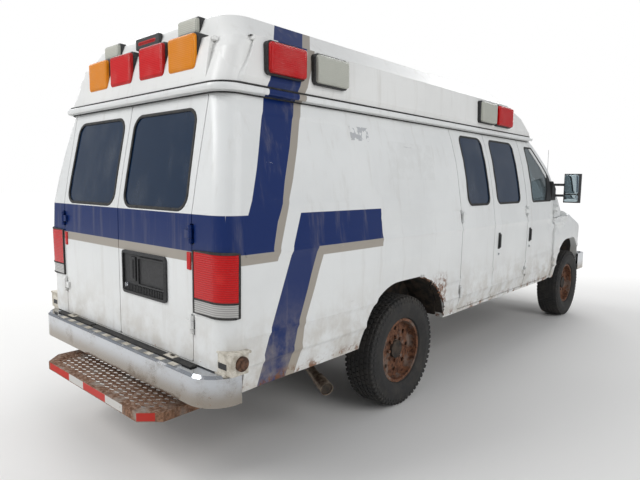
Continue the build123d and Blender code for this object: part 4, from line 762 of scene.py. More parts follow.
# %% Shape helper
class Shape:
    """Points and faces that grow form by form, in metres, and become one object."""

    def __init__(self):
        self.mesh = bmesh.new()

    def grow(self, points, faces, finish=0):
        """Plain points and faces."""
        made = [self.mesh.verts.new(p) for p in points]
        for face in faces:
            self.mesh.faces.new([made[i] for i in face]).material_index = finish

    def box(self, low, high, edge=0.003, finish=0, steps=2):
        """A box with rounded edges."""
        low, high = zip(*(sorted(pair) for pair in zip(low, high)))
        made = bmesh.ops.create_cube(self.mesh, size=1)["verts"]
        for vert in made:
            vert.co = [a + (c + 0.5) * (b - a) for a, b, c in zip(low, high, vert.co)]
        faces = {face for vert in made for face in vert.link_faces}
        for face in faces:
            face.material_index = finish
        edges = list({line for vert in made for line in vert.link_edges})
        bmesh.ops.bevel(self.mesh, geom=edges, offset=edge, segments=steps, affect="EDGES",
                        profile=0.5)

    def loops(self, rings, finish=0, start=True, end=True):
        """Walls between rings of equal length, with flat ends."""
        count = len(rings[0])
        made = [self.mesh.verts.new(p) for ring in rings for p in ring]
        for r in range(len(rings) - 1):
            for i in range(count):
                j = (i + 1) % count
                a, b = r * count, (r + 1) * count
                face = self.mesh.faces.new((made[a + i], made[a + j], made[b + j], made[b + i]))
                face.material_index = finish
        if start:
            self.mesh.faces.new(made[:count][::-1]).material_index = finish
        if end:
            self.mesh.faces.new(made[-count:]).material_index = finish

    def strip(self, path, facing, section, closed=True, finish=0):
        """A section swept along a path; facing gives the way that it stands out."""
        rings, count = [], len(path)
        for i, (point, out) in enumerate(zip(path, facing)):
            before = path[i - 1] if closed or i else point
            after = path[(i + 1) % count] if closed or i < count - 1 else point
            along = (after - before).normalized()
            across = along.cross(out).normalized()
            out = across.cross(along)
            rings.append([point + out * a + across * b for a, b in section])
        if closed:
            rings.append(rings[0])
        self.loops(rings, finish, not closed, not closed)

    def lathe(self, profile, centre, steps, finish=0, axis="x"):
        """A profile of (along, radius) turned about an axis through the centre."""
        rings = []
        for along, radius in profile:
            ring = []
            for i in range(steps):
                turn = math.tau * i / steps
                a, b = radius * math.cos(turn), radius * math.sin(turn)
                ring.append(Vector(centre) + Vector(
                    {"x": (along, a, b), "y": (a, along, b), "z": (a, b, along)}[axis]))
            rings.append(ring)
        self.loops(rings + rings[:1], finish, False, False)

    def build(self, name, finishes, body, replaced=(), angle=35):
        """Close seams, turn faces outwards and make the object."""
        bmesh.ops.remove_doubles(self.mesh, verts=self.mesh.verts, dist=1e-6)
        bmesh.ops.recalc_face_normals(self.mesh, faces=self.mesh.faces)
        return settle(self.mesh, name, finishes, body, replaced, angle)


# %% [markdown]
# ## Pressed side panels
# Sheet steel gets its stiffness from pressings: two shallow blanks where windows could be, a
# flare over the rear wheel, two beads near the sill, a crease under the waist band and a groove
# in it. A CAD wall is a few large faces, so it is first cut into a fine grid, then each outer
# point moves in or out by a pressing's depth. The same step dents the right front corner, where
# the real one has been hit.


# %% Cutting a grid, and soft steps
def divided(mesh, axis, start, end, pitch):
    """Cut the mesh at even places along one axis."""
    normal = Vector((0, 0, 0))
    normal[axis] = 1
    place = start
    while place < end:
        bmesh.ops.bisect_plane(mesh, geom=mesh.verts[:] + mesh.edges[:] + mesh.faces[:],
                               dist=1e-6, plane_co=normal * place, plane_no=normal)
        place += pitch


def smooth_step(value):
    """0 to 1 with soft ends."""
    value = min(1.0, max(0.0, value))
    return value * value * (3 - 2 * value)


def inside(y, z, low, high, corner):
    """How far a point is inside a rounded rectangle."""
    dy = abs(y - (low[0] + high[0]) / 2) - (high[0] - low[0]) / 2 + corner
    dz = abs(z - (low[1] + high[1]) / 2) - (high[1] - low[1]) / 2 + corner
    return corner - math.hypot(max(dy, 0), max(dz, 0)) - min(max(dy, dz), 0)


def bead(z, middle, half):
    """A rounded ridge along the body."""
    return smooth_step(1 - abs(z - middle) / half)


# %% How deep the pressings and dents are
blank_depth, blank_slope = 0.007, 0.03
blanks = (((1.77, 1.43), (2.56, 1.905), 0.12), ((0.60, 1.43), (1.60, 1.935), 0.10))
groove_depth, flare_depth = 0.006, 0.006
ridges = ((1.20, 0.007), (0.80, 0.008), (0.665, 0.008))
ridge_half, groove_half = 0.024, 0.014
dent_depth, wave_depth = 0.048, 0.004
hit_y, hit_z, hit_long, hit_tall = -1.85, 1.18, 0.60, 0.24


def dented(y, z):
    """How far the right side is knocked in, with folds near the blow."""
    hit = smooth_step(1 - math.hypot((y - hit_y) / hit_long, (z - hit_z) / hit_tall))
    folds = noise.noise(Vector((y * 7, z * 11, 1))) + 0.5 * noise.noise(
        Vector((y * 17, z * 25, 4)))
    waves = smooth_step(noise.noise(Vector((y * 2.3, z * 3.1, 9))) * 2)
    return -dent_depth * hit * (0.45 + 1.3 * folds) - wave_depth * waves


def pressing(side, y, z):
    """How far the skin stands out, in metres."""
    blank = -sum(blank_depth * smooth_step(inside(y, z, *area) / blank_slope) for area in blanks)
    groove = groove_depth * bead(z, 1.335, groove_half) * smooth_step((2.3 - y) / 0.2)
    near_wheel = smooth_step(1 - (abs(y - 1.45) - 0.45) / 0.12)
    flare = flare_depth * near_wheel * smooth_step((1.10 - z) / 0.05) * smooth_step(
        (z - 0.96) / 0.10)
    raised = sum(height * bead(z, middle, ridge_half) for middle, height in ridges)
    return blank - groove + flare + raised + (dented(y, z) if side < 0 else 0.0)


print("skin at a bead:", round(1000 * pressing(1, 0.0, 0.80), 1), "mm out")


# %% Pressed panels
def pressed_panel(node, pitch):
    """A stand-in panel with its pressings, cut finely enough to hold them."""
    mesh = merged(node)
    for axis in (1, 2):
        places = [vert.co[axis] for vert in mesh.verts]
        divided(mesh, axis, min(places) + 0.01, max(places) - 0.005, pitch)
    for vert in mesh.verts:
        side = -1 if vert.co.x < 0 else 1
        x, y, z = vert.co
        limit = skin_half(z, y) if y > -1.7 else abs(x)
        if abs(x) > limit - 0.004 and y < skin_rear(z) - corner_radius:
            vert.co.x = x + side * pressing(side, y, z)
    return settle(mesh, node + "_panel", [white_paint], body_of[node], [node])


for node, pitch in (("right_body_side", 0.022), ("side_door_front", 0.03),
                    ("side_door_rear", 0.03), ("right_cab_door", 0.026),
                    ("left_body_side", 0.03), ("left_cab_door", 0.04)):
    panel = pressed_panel(node, pitch)
    print(panel.name, len(panel.data.polygons), "faces")

# %% Front fenders, the right one dented
mesh = merged("front_fenders")
divided(mesh, 1, -2.88, -1.70, 0.03)
divided(mesh, 2, 0.56, 1.25, 0.03)
for vert in mesh.verts:
    x, y, z = vert.co
    if x < -0.86 and (z > 1.15 or abs(x) > 0.93):
        lift = pressing(-1, y, z)
        vert.co.x -= lift * (1 if z < 1.22 else 0.5)
        vert.co.z += 0.35 * min(0, lift) if z > 1.1 else 0
settle(mesh, "front_fenders_panel", [white_paint], "body", ["front_fenders"])
print("dent formula in mm at the blow:", round(1000 * dented(hit_y, hit_z), 1))

# %% [markdown]
# ## Raised roof
# The shell's side and rear bands stand proud and carry the lamps, but they stop short of each
# rear corner, where one smooth column runs from the crown down to the gutter. The CAD band
# runs right round, so the copy is cut along the bands' slanting ends and its corners move in.

# %% Cut the roof shell where its bands end
band_heights = [2.012, 2.055, 2.2, 2.262]
band_halves, band_rears = [0.862, 0.880, 0.876, 0.870], [2.704, 2.692, 2.660, 2.640]
column_halves, column_rears = [0.862, 0.859, 0.845, 0.838], [2.704, 2.690, 2.632, 2.600]
side_end_top, side_end_low, rear_end_top, rear_end_low = 2.505, 2.605, 0.690, 0.715
slope_width, still_depth = 0.022, 0.006
mesh = merged("raised_roof")
divided(mesh, 2, 2.03, 2.262, 0.029)
end_rise = band_heights[-1] - band_heights[0]
for extra in (0, slope_width / 2, slope_width):
    for axis, at_low, at_top in ((1, side_end_low, side_end_top), (0, rear_end_low, rear_end_top)):
        for side in ((1,) if axis == 1 else (1, -1)):
            normal = Vector((0, 0, (at_low - at_top)))
            normal[axis] = side * end_rise
            start = Vector((0, 0, band_heights[0]))
            start[axis] = side * (at_low + extra)
            bmesh.ops.bisect_plane(mesh, geom=mesh.verts[:] + mesh.edges[:] + mesh.faces[:],
                                   dist=1e-6, plane_co=start, plane_no=normal.normalized())
print("roof shell:", len(mesh.faces), "faces")

# %% Draw the roof's corners in
for vert in mesh.verts:
    x, y, z = vert.co
    if not band_heights[0] <= z <= band_heights[-1] + 0.001:
        continue
    half, rear = read_table(z, band_heights, band_halves), read_table(z, band_heights, band_rears)
    if abs(x) < half - still_depth and y < rear - still_depth and math.hypot(
            abs(x) - half + corner_radius,
            y - rear + corner_radius) < corner_radius - still_depth:
        continue
    share = (z - band_heights[0]) / end_rise
    past_side = y - (side_end_low + (side_end_top - side_end_low) * share)
    past_rear = abs(x) - (rear_end_low + (rear_end_top - rear_end_low) * share)
    weight = smooth_step(min(past_side, past_rear) / slope_width)
    if weight > 0:
        vert.co.x -= math.copysign(
            weight * (half - read_table(z, band_heights, column_halves)), x)
        vert.co.y -= weight * (rear - read_table(z, band_heights, column_rears))
bmesh.ops.dissolve_degenerate(mesh, dist=2e-4, edges=mesh.edges[:])
settle(mesh, "raised_roof_shell", [shell_white], "body", ["raised_roof"], 30)
shape = Shape()
for side in (-1, 1):
    shape.box((side * 0.832, 2.474, 2.240), (side * 0.8705, 2.516, 2.2635), 0.006, 0, 3)
    shape.box((side * 0.664, 2.592, 2.240), (side * 0.706, 2.6405, 2.2635), 0.006, 0, 3)
shape.build("roof_band_caps", [shell_white], "body")
print("roof corners drawn in")

# %% [markdown]
# ## Window seals and gutters
# Each pane sits in a rubber seal, and the seal must follow the curved wall. Its path is the
# window's rounded outline, put on the skin point by point, and an oval section is swept along
# it. The gutter under the roof shell is a bigger strip of the same kind, with a black seal
# above and below it, run round the rear in one piece.

# %% Seals
seal = oval(0.0045, 0.009)
side_windows = [
    ("side_door_front", -1, rectangle((-0.688, 1.378), (-0.178, 1.925)), 0.06),
    ("side_door_rear", -1, rectangle((-0.018, 1.378), (0.372, 1.925)), 0.06),
]
cab_window = [(-1.530, 1.378), (-1.530, 1.622), (-1.188, 1.910), (-0.998, 1.910),
              (-0.998, 1.378)]
side_windows += [("right_cab_door", -1, cab_window, 0.03), ("left_cab_door", 1, cab_window, 0.03)]


def spaced(outline, gap=0.04):
    """The outline with extra points on its long runs, so that it can follow a curve."""
    result = []
    for a, b in zip(outline, outline[1:] + outline[:1]):
        parts = max(1, int((b - a).length / gap))
        result += [a.lerp(b, i / parts) for i in range(parts)]
    return result


for body, side, outline, corner in side_windows:
    shape = Shape()
    run = spaced(rounded(outline, corner))
    shape.strip([side_point(side, y, z) for y, z in run],
                [side_facing(side, y, z) for y, z in run], seal)
    shape.build(body + "_seal", [black_rubber], body)
print("side seals:", len(side_windows))
rear_window = [(0.058, 1.402), (0.683, 1.402), (0.655, 1.905), (0.058, 1.905)]
for body, side in (("rear_door_left", 1), ("rear_door_right", -1)):
    shape = Shape()
    run = spaced(rounded([(side * x, z) for x, z in rear_window], 0.075))
    shape.strip([rear_point(x, z) for x, z in run], [rear_facing(z) for x, z in run], seal)
    shape.build(body + "_seal", [black_rubber], body)

glass_foot_y, glass_foot_z, glass_rake = -2.075, 1.262, 0.879 / 0.728
shield_facing = Vector((0, -1, glass_rake)).normalized()
shape = Shape()
run = spaced(rounded([(-0.830, 1.310), (0.830, 1.310), (0.755, 1.925), (-0.755, 1.925)], 0.06))
shape.strip([Vector((x, glass_foot_y + glass_rake * (z - glass_foot_z), z)) for x, z in run],
            [shield_facing] * len(run), oval(0.006, 0.014))
shape.build("windshield_seal", [black_rubber], "body")


# %% Gutter and roof seal
def roof_run(half, rear, radius, front, z, steps=10):
    """Points along one side, round the rear and back along the other side."""
    run, facing = [], []
    for side, order in ((1, range(steps + 1)), (-1, range(steps, -1, -1))):
        corner = [(side * (half - radius) + side * radius * math.cos(math.pi / 2 * i / steps),
                   rear - radius + radius * math.sin(math.pi / 2 * i / steps),
                   side * math.cos(math.pi / 2 * i / steps), math.sin(math.pi / 2 * i / steps))
                  for i in order]
        if side > 0:
            run.append(Vector((half, front, z)))
            facing.append(Vector((1, 0, 0)))
        run += [Vector((x, y, z)) for x, y, _, _ in corner]
        facing += [Vector((a, b, 0)) for _, _, a, b in corner]
    run.append(Vector((-half, front, z)))
    facing.append(Vector((-1, 0, 0)))
    return run, facing


roof_corner = 0.112
for name, finish, slot, strips in (
        ("roof_gutter", white_paint, "white_paint",
         ((0.877, 2.722, -1.18, 1.998, oval(0.009, 0.017, 10)),
          (0.846, 2.697, -1.17, 1.985, oval(0.008, 0.012)))),
        ("roof_seal", black_rubber, "black_plastic",
         ((0.866, 2.707, -1.13, 2.020, oval(0.008, 0.0075)),
          (0.850, 2.699, -1.15, 1.9735, oval(0.006, 0.004, 6))))):
    shape = Shape()
    for half, rear, front, z, section in strips:
        run, facing = roof_run(half, rear, roof_corner, front, z)
        shape.strip(run, facing, section, closed=False)
    shape.build(name, [finish], "body")
print("seals and gutter fitted")

# %% [markdown]
# ## Warning lamps on the roof
# Each lamp is a black tray screwed to the shell with a pillowed lens in it. The loops of a
# rounded rectangle, drawn in a little near the face, make both. Each set of lamps hides the
# CAD blocks that it stands for. The four at the rear stand up to 40 mm beside theirs.


# %% A lamp
lamp_corner, least_corner = 0.02, 0.004
lens_steps = ((0.002, 0.013), (0.004, 0.006), (0.010, 0.0015), (0.022, 0.0))
tray_steps = ((-0.006, 0.026), (-0.001, 0.022))
side_lamp_back, side_lamp_face = 0.850, 0.928


def inset_outline(low, high, inset, corner):
    """A rounded rectangle drawn in on all sides."""
    return rounded(rectangle((low[0] + inset, low[1] + inset), (high[0] - inset, high[1] - inset)),
                   max(least_corner, corner))


def lamp(shape, low, high, back, front, axis):
    """A lens and its tray; low and high are the face's corners, front its outer face."""
    out = 1 if front > back else -1

    def loop(inset, depth):
        outline = inset_outline(low, high, inset, lamp_corner - inset)
        if axis == "x":
            return [Vector((depth, a, b)) for a, b in outline]
        return [Vector((a, depth, b)) for a, b in outline]

    for finish, foot, steps in ((0, 0.002, lens_steps), (1, -0.005, tray_steps)):
        shape.loops([loop(foot, back)] + [loop(inset, front - out * depth)
                                          for inset, depth in steps], finish)


def lamp_set(name, finish, side_lamps, rear_lamps, replaced):
    """All lamps of one colour in one object."""
    shape = Shape()
    for y_low, y_high, z_low, z_high in side_lamps:
        for side in (-1, 1):
            lamp(shape, (y_low, z_low), (y_high, z_high), side * side_lamp_back,
                 side * side_lamp_face, "x")
    for x_low, x_high, z_low, z_high, back, front in rear_lamps:
        lamp(shape, (x_low, z_low), (x_high, z_high), back, front, "y")
    shape.build(name, [finish, black_plastic], "body", replaced, 30)


# %% Roof lamps
rear_lamp = (2.105, 2.286, 2.58, 2.688)
lamp_set("red_roof_lamps", red_lens,
         [(2.190, 2.455, 2.084, 2.240), (-0.578, -0.262, 2.062, 2.234)],
         [(x - 0.125, x + 0.125, *rear_lamp) for x in (-0.194, 0.146)]
         + [(-0.105, 0.105, 2.335, 2.372, 2.50, 2.592)], ["red_lamps"])
lamp_set("amber_roof_lamps", amber_lens, [],
         [(x - 0.120, x + 0.120, *rear_lamp) for x in (-0.488, 0.434)], ["amber_lamps"])
lamp_set("clear_roof_lamps", clear_lens,
         [(1.832, 2.107, 2.084, 2.240), (-0.228, 0.062, 2.062, 2.234)],
         [(s * 0.42 - 0.09, s * 0.42 + 0.09, 2.312, 2.400, 2.46, 2.600) for s in (-1, 1)],
         ["clear_lamps"])

shape = Shape()
shape.box((-0.128, 2.56, 2.322), (0.128, 2.5895, 2.386), 0.006)
shape.build("centre_lamp_bezel", [black_plastic], "body")
print("lamps at the roof's rear and sides fitted")

# %% Light bar on the front shelf: red dome over a clear base
shape = Shape()
for side in (-1, 1):
    x = side * 0.33
    for depth, z_low, z_high, finish in ((0.0, 2.215, 2.240, 2), (0.004, 2.240, 2.256, 1),
                                         (0.0, 2.256, 2.290, 0)):
        rings = []
        for z, inset in ((z_low, depth), (z_high - 0.008, depth), (z_high, depth + 0.012)):
            rings.append([Vector((a, b, z)) for a, b in inset_outline(
                (x - 0.19, -0.770), (x + 0.19, -0.640), inset, 0.04)])
        shape.loops(rings, finish)
shape.box((-0.15, -0.75, 2.205), (0.15, -0.66, 2.262), 0.012, 2, 3)
shape.box((-0.51, -0.73, 2.18), (0.51, -0.68, 2.217), 0.004, 3)
shape.build("light_bar_domes", [red_lens, clear_lens, cast_white, black_plastic], "body",
            ["light_bar"])
print("light bar fitted")

# %% [markdown]
# ## Tail lamps
# A tail lamp wraps round the corner: red above, clear for reversing below, with ribs across
# it and a black seal round it. The CAD lens keeps its place as a smooth copy whose finish
# changes with height, and ribs and seal follow the corner's run.

# %% Tail lamp finish
lens_split = 0.976
recipe = Recipe("tail_lens_finish", (0.5, 0.01, 0.01), 0.2, Coat_Weight=0.2,
                Specular_IOR_Level=0.3)
z = recipe.axis("Z")
# Painted shade and highlight: the red and the clear part each turn darker and lighter across every
# rib.
rib = recipe.waves(30, "Z")
reds = recipe.mix(rib, (0.42, 0.0, 0.001), (0.60, 0.0, 0.002))
clears = recipe.mix(rib, (0.30, 0.29, 0.28), (0.52, 0.51, 0.49))
# Painted highlight: brighter red spots where a reflector behind the lens would catch the light.
painted_reflector_glint = recipe.ramp(recipe.cells(5.5, (0.2, 0.1, 0.05)), 0.22, 0.05)
reds = recipe.mix(recipe.product(painted_reflector_glint, 0.2), reds, (0.80, 0.05, 0.04))
recipe.colour(recipe.mix(recipe.above(z, lens_split, 0.001), clears, reds))
recipe.bump(rib, 0.001, 0.5)
tail_finish = recipe.material
print("tail lens red above", lens_split, "m")

# %% Tail lamp pieces
settle(merged("tail_lamps"), "tail_lamp_lenses", [tail_finish], "body",
       ["tail_lamps"], 40)
shape = Shape()
lamp_low, lamp_high, lamp_inner, lamp_front = 0.906, 1.210, 0.754, 2.728
seal_lift, split_lift = 0.004, 0.009
for side in (-1, 1):
    loop = corner_run(side, lamp_low, lamp_inner, lamp_front, seal_lift)
    loop += [corner_point(side, z, lamp_front, seal_lift) for z in (0.98, 1.05, 1.13)]
    loop += corner_run(side, lamp_high, lamp_inner, lamp_front, seal_lift)[::-1]
    split = corner_run(side, lens_split, lamp_inner, lamp_front, split_lift)
    for run, section, closed in ((loop, oval(0.007, 0.008, 6), True),
                                 (split, oval(0.003, 0.005, 6), False)):
        shape.strip([point for point, _ in run], [out for _, out in run], section, closed)
shape.build("tail_lamp_seals", [black_rubber], "body")
for side, door in ((-1, "rear_door_right"), (1, "rear_door_left")):
    shape = Shape()
    shape.box((side * 0.694, 2.797, 1.112), (side * 0.729, 2.808, 1.200), 0.004)
    shape.build(door + "_lamp_wing", [red_lens], door)
print("tail lamps fitted")

# %% [markdown]
# ## Repeating small parts
# Chequers, ribs, tread and wheel nuts are each one small shape set out again and again. They
# could be copied in a loop, but a Geometry Nodes tree keeps the count and the step as inputs,
# so one tree for rows and one for rings serve them all. The copies are made real and given
# their finish in the tree, and the result becomes a plain mesh, because an export drops
# instances.


# %% A tree that repeats its input
def repeat_tree(name, turning):
    """A node tree that repeats its input in a row, or in a ring about the X axis."""
    tree = bpy.data.node_groups.new(name, "GeometryNodeTree")
    face = tree.interface
    face.new_socket("Geometry", in_out="INPUT", socket_type="NodeSocketGeometry")
    face.new_socket("Count", in_out="INPUT", socket_type="NodeSocketInt")
    face.new_socket("Step", in_out="INPUT", socket_type="NodeSocketVector")
    face.new_socket("Finish", in_out="INPUT", socket_type="NodeSocketMaterial")
    face.new_socket("Geometry", in_out="OUTPUT", socket_type="NodeSocketGeometry")
    start, finish = tree.nodes.new("NodeGroupInput"), tree.nodes.new("NodeGroupOutput")
    points = tree.nodes.new("GeometryNodePoints")
    index = tree.nodes.new("GeometryNodeInputIndex")
    scale = tree.nodes.new("ShaderNodeVectorMath")
    scale.operation = "SCALE"
    place = tree.nodes.new("GeometryNodeInstanceOnPoints")
    real = tree.nodes.new("GeometryNodeRealizeInstances")
    paint = tree.nodes.new("GeometryNodeSetMaterial")
    join = tree.links.new
    join(start.outputs["Count"], points.inputs["Count"])
    join(start.outputs["Step"], scale.inputs[0])
    join(index.outputs[0], scale.inputs["Scale"])
    if turning:
        join(scale.outputs[0], place.inputs["Rotation"])
    else:
        join(scale.outputs[0], points.inputs["Position"])
    join(points.outputs[0], place.inputs["Points"])
    join(start.outputs["Geometry"], place.inputs["Instance"])
    join(place.outputs[0], real.inputs[0])
    join(real.outputs[0], paint.inputs["Geometry"])
    join(start.outputs["Finish"], paint.inputs["Material"])
    join(paint.outputs[0], finish.inputs[0])
    return tree


row_tree, ring_tree = repeat_tree("row_of_parts", False), repeat_tree("ring_of_parts", True)
print("inputs of a tree:", ", ".join(
    item.name for item in row_tree.interface.items_tree if item.in_out == "INPUT"))


# %% From a tree to a plain mesh
def repeated(shape, tree, count, step, finish):
    """The shape's mesh repeated by the tree, as a plain mesh."""
    bmesh.ops.recalc_face_normals(shape.mesh, faces=shape.mesh.faces)
    data = bpy.data.meshes.new("unit")
    shape.mesh.to_mesh(data)
    shape.mesh.free()
    unit = bpy.data.objects.new("unit", data)
    scene.collection.objects.link(unit)
    modifier = unit.modifiers.new("repeat", "NODES")
    modifier.node_group = tree
    sockets = {item.name: item.identifier for item in tree.interface.items_tree
               if item.in_out == "INPUT"}
    modifier[sockets["Count"]] = count
    modifier[sockets["Step"]] = step
    modifier[sockets["Finish"]] = finish
    result = bpy.data.meshes.new_from_object(
        unit.evaluated_get(bpy.context.evaluated_depsgraph_get()))
    bpy.data.objects.remove(unit)
    return result


def joined(meshes, name, finishes, body, replaced=(), angle=35):
    """Several plain meshes, each with its shift, as one object."""
    mesh = bmesh.new()
    for data, shift, finish in meshes:
        before = len(mesh.verts)
        first_face = len(mesh.faces)
        mesh.from_mesh(data)
        mesh.verts.ensure_lookup_table()
        mesh.faces.ensure_lookup_table()
        for vert in mesh.verts[before:]:
            vert.co += Vector(shift)
        for face in mesh.faces[first_face:]:
            face.material_index = finish
    return settle(mesh, name, finishes, body, replaced, angle)


# %% [markdown]
# ## Bumper, pads and brackets
# The chrome bumper carries two black rubber pads where people step in, a strip of chequered
# tape and low white cast hooks. White bracket boxes with brown rubber stops stand at its ends.
# The hooks stay under the doors' lower edge and the boxes outside the body's corners, so that
# the doors still swing right round. All are bevelled boxes and turned forms on the CAD bumper.

# %% Pads and chequered tape
bumper_top, hook_top = 0.635, 0.6455
block_low, block_high, block_count, block_pitch = (-0.68, 2.850), (-0.622, 2.882), 12, 0.118
shape = Shape()
for x_low, x_high in ((0.31, 0.80), (-0.77, 0.29)):
    shape.box((x_low, 2.806, bumper_top), (x_high, 2.846, bumper_top + 0.0095), 0.004, 0, 3)
shape.build("bumper_pads", [black_rubber], "body")
unit = Shape()
unit.box((*block_low, bumper_top - 0.001), (*block_high, bumper_top + 0.0012), 0.0003, 0, 1)
chequers = repeated(unit, row_tree, block_count, (block_pitch, 0, 0), cast_white)
shape = Shape()
shape.box((-0.70, 2.848, bumper_top - 0.002), (0.72, 2.884, bumper_top + 0.0006), 0.0003, 0, 1)
shape.build("bumper_tape", [grey_plastic], "body")
joined([(chequers, (0, 0, 0), 0)], "bumper_chequers", [cast_white], "body")
print("chequers:", block_count)

# %% Hooks, bracket boxes and stops
shape = Shape()
for x in (-0.56, 0.62):
    shape.box((x - 0.045, 2.800, 0.632), (x + 0.045, 2.842, hook_top), 0.003, 0, 3)
    shape.box((x - 0.02, 2.795, 0.60), (x + 0.02, 2.825, hook_top), 0.004, 0, 3)
for side in (-1, 1):
    shape.box((side * 0.885, 2.690, 0.6365), (side * 1.028, 2.797, 0.742), 0.008, 0, 3)
    shape.box((side * 0.925, 2.790, 0.662), (side * 0.995, 2.7985, 0.698), 0.003, 1, 2)
    shape.box((side * 0.89, 2.68, 0.735), (side * 1.034, 2.799, 0.748), 0.003, 0, 2)
    shape.box((side * 0.90, 2.70, 0.628), (side * 0.985, 2.80, 0.642), 0.003, 0, 2)
    for depth, radius in ((0.0, 0.036), (0.012, 0.022)):
        profile = [(-0.02, 0.001), (-0.02, radius), (0.018 + depth, radius),
                   (0.024 + depth, radius * 0.8), (0.024 + depth, 0.001)]
        shape.lathe([(side * a, r) for a, r in profile], (side * 1.022, 2.738, 0.694), 24, 2)
shape.build("bumper_brackets", [cast_white, black_plastic, brown_rubber], "body")
print("brackets fitted")

# %% Tailpipe sleeve
shape = Shape()
tip_start, tip_end = Vector((-0.765, 1.909, 0.324)), Vector((-0.893, 1.966, 0.303))
tip_way = (tip_end - tip_start).normalized()
tip_side = tip_way.cross(Vector((0, 0, 1))).normalized()
tip_up = tip_side.cross(tip_way)
rings, pipe_sides = [], 28
for along, radius in ((0.0, 0.033), (0.01, 0.038), (0.134, 0.041), (0.142, 0.0405),
                      (0.140, 0.0375), (0.131, 0.0365)):
    turns = [math.tau * i / pipe_sides for i in range(pipe_sides)]
    rings.append([tip_start + tip_way * along + tip_side * radius * math.cos(turn)
                  + tip_up * radius * math.sin(turn) for turn in turns])
shape.loops(rings[:5], 0, False, False)
shape.loops(rings[4:], 1, False, True)
shape.build("tailpipe_sleeve", [exhaust_steel, chassis_black], "body")
print("sleeve", round((tip_end - tip_start).length, 3), "m long")

# %% [markdown]
# ## Plate housing, handles and locks
# The right-hand rear door carries a black recessed housing: a frame, a bay for the plate, a
# row of ribs under it, and the door handle beside it. It rides on that door, so it swings
# with it. The bay is empty, because the real one carries no plate.

# %% Plate housing on the right-hand rear door
shape = Shape()
skin = 2.802
house_left, house_right, house_low, house_high = -0.051, -0.510, 0.908, 1.153
house_low_corner, house_high_corner, lip = (house_right, house_low), (house_left, house_high), 0.016
outer = inset_outline(house_low_corner, house_high_corner, 0, 0.022)
inner = inset_outline(house_low_corner, house_high_corner, lip, 0.012)
rings = [[Vector((x, depth, z)) for x, z in outline] for outline, depth in (
    (outer, skin - 0.004), (outer, skin + 0.010), (inner, skin + 0.014), (inner, skin + 0.003))]
shape.loops(rings, 0, True, True)
wall = rounded(rectangle((-0.488, 0.975), (-0.236, 1.118)), 0.010)
wide = rounded(rectangle((-0.498, 0.966), (-0.226, 1.127)), 0.014)
shape.loops([[Vector((x, depth, z)) for x, z in outline] for outline, depth in (
    (wide, skin + 0.002), (wide, skin + 0.012), (wall, skin + 0.012), (wall, skin + 0.0035))], 0)
shape.box((-0.205, skin, 0.985), (-0.150, skin + 0.013, 1.122), 0.005, 0, 3)
shape.box((-0.190, skin + 0.006, 1.000), (-0.165, skin + 0.019, 1.108), 0.006, 0, 3)
shape.lathe([(0, 0.001), (0, 0.013), (0.012, 0.012), (0.014, 0.009), (0.014, 0.001)],
            (-0.108, skin + 0.001, 0.958), 20, 1, "y")
shape.box((-0.112, skin + 0.012, 0.945), (-0.104, skin + 0.019, 0.971), 0.001, 1, 1)
shape.build("plate_housing", [black_plastic, chrome], "rear_door_right")
unit, rib_count, rib_pitch = Shape(), 26, 0.0165
unit.box((-0.492, skin + 0.002, 0.926), (-0.484, skin + 0.011, 0.962), 0.001, 0, 1)
ribs = repeated(unit, row_tree, rib_count, (rib_pitch, 0, 0), black_plastic)
joined([(ribs, (0, 0, 0), 0)], "plate_housing_ribs", [black_plastic], "rear_door_right")
print("plate housing with", rib_count, "ribs")


# %% Side door handles and locks
def pull(name, body, side, y, z_low, z_high):
    """A black upright pull in its cup, with a lock barrel below."""
    shape = Shape()
    x = side * (skin_half((z_low + z_high) / 2, y) + 0.001)
    shape.box((x - side * 0.006, y - 0.020, z_low), (x + side * 0.004, y + 0.020, z_high),
              0.004, 0, 3)
    shape.box((x, y - 0.011, z_low + 0.012), (x + side * 0.018, y + 0.011, z_high - 0.012),
              0.006, 0, 3)
    barrel = [(0, 0.001), (0, 0.011), (side * 0.006, 0.010), (side * 0.007, 0.001)]
    shape.lathe(barrel, (x, y + 0.004, z_low - 0.045), 18, 1, "x")
    shape.build(name, [black_plastic, chrome], body)


pull("cargo_handle", "side_door_front", -1, -0.195, 0.978, 1.122)
pull("right_cab_handle", "right_cab_door", -1, -0.918, 0.990, 1.125)
pull("left_cab_handle", "left_cab_door", 1, -0.918, 0.990, 1.125)
print("handles fitted")

# %% [markdown]
# ## Tyres and wheel nuts
# The tyre's carcass is a turned profile with a rib on each wall. One slice of tread is modelled
# once, and the ring tree repeats it round the wheel. The same tree sets eight nuts on each rim.
# Every wheel gets its own meshes, because each rides on its own body.

# %% Tread, carcass and nuts
axle_height, nut_circle, nut_count = 0.386, 0.084, 8
carcass = [(-0.082, 0.2125), (-0.083, 0.224), (-0.100, 0.232), (-0.112, 0.262), (-0.1185, 0.290),
           (-0.1195, 0.300), (-0.1175, 0.304), (-0.1165, 0.325), (-0.110, 0.352),
           (-0.100, 0.370), (-0.084, 0.3775)]
carcass += [(-x, r) for x, r in reversed(carcass)]
wheels = [("front_left", 1, 0.8775, -2.263), ("front_right", -1, 0.8775, -2.263),
          ("rear_left", 1, 0.855, 1.242), ("rear_right", -1, 0.855, 1.242)]


def tread_slice():
    """One slice of tread: five staggered ribs and a lug at each shoulder."""
    shape = Shape()
    for rib, lean in ((-0.070, 0), (-0.035, 0.016), (0.0, 0), (0.035, 0.016), (0.070, 0)):
        shape.box((rib - 0.0135, lean - 0.0165, 0.372), (rib + 0.0135, lean + 0.0165, 0.3842),
                  0.002, 0, 1)
    for side in (-1, 1):
        shape.box((side * 0.088, -0.012, 0.345), (side * 0.108, 0.012, 0.3785), 0.003, 0, 1)
        shape.box((side * 0.100, -0.010, 0.330), (side * 0.1155, 0.010, 0.352), 0.002, 0, 1)
    return shape


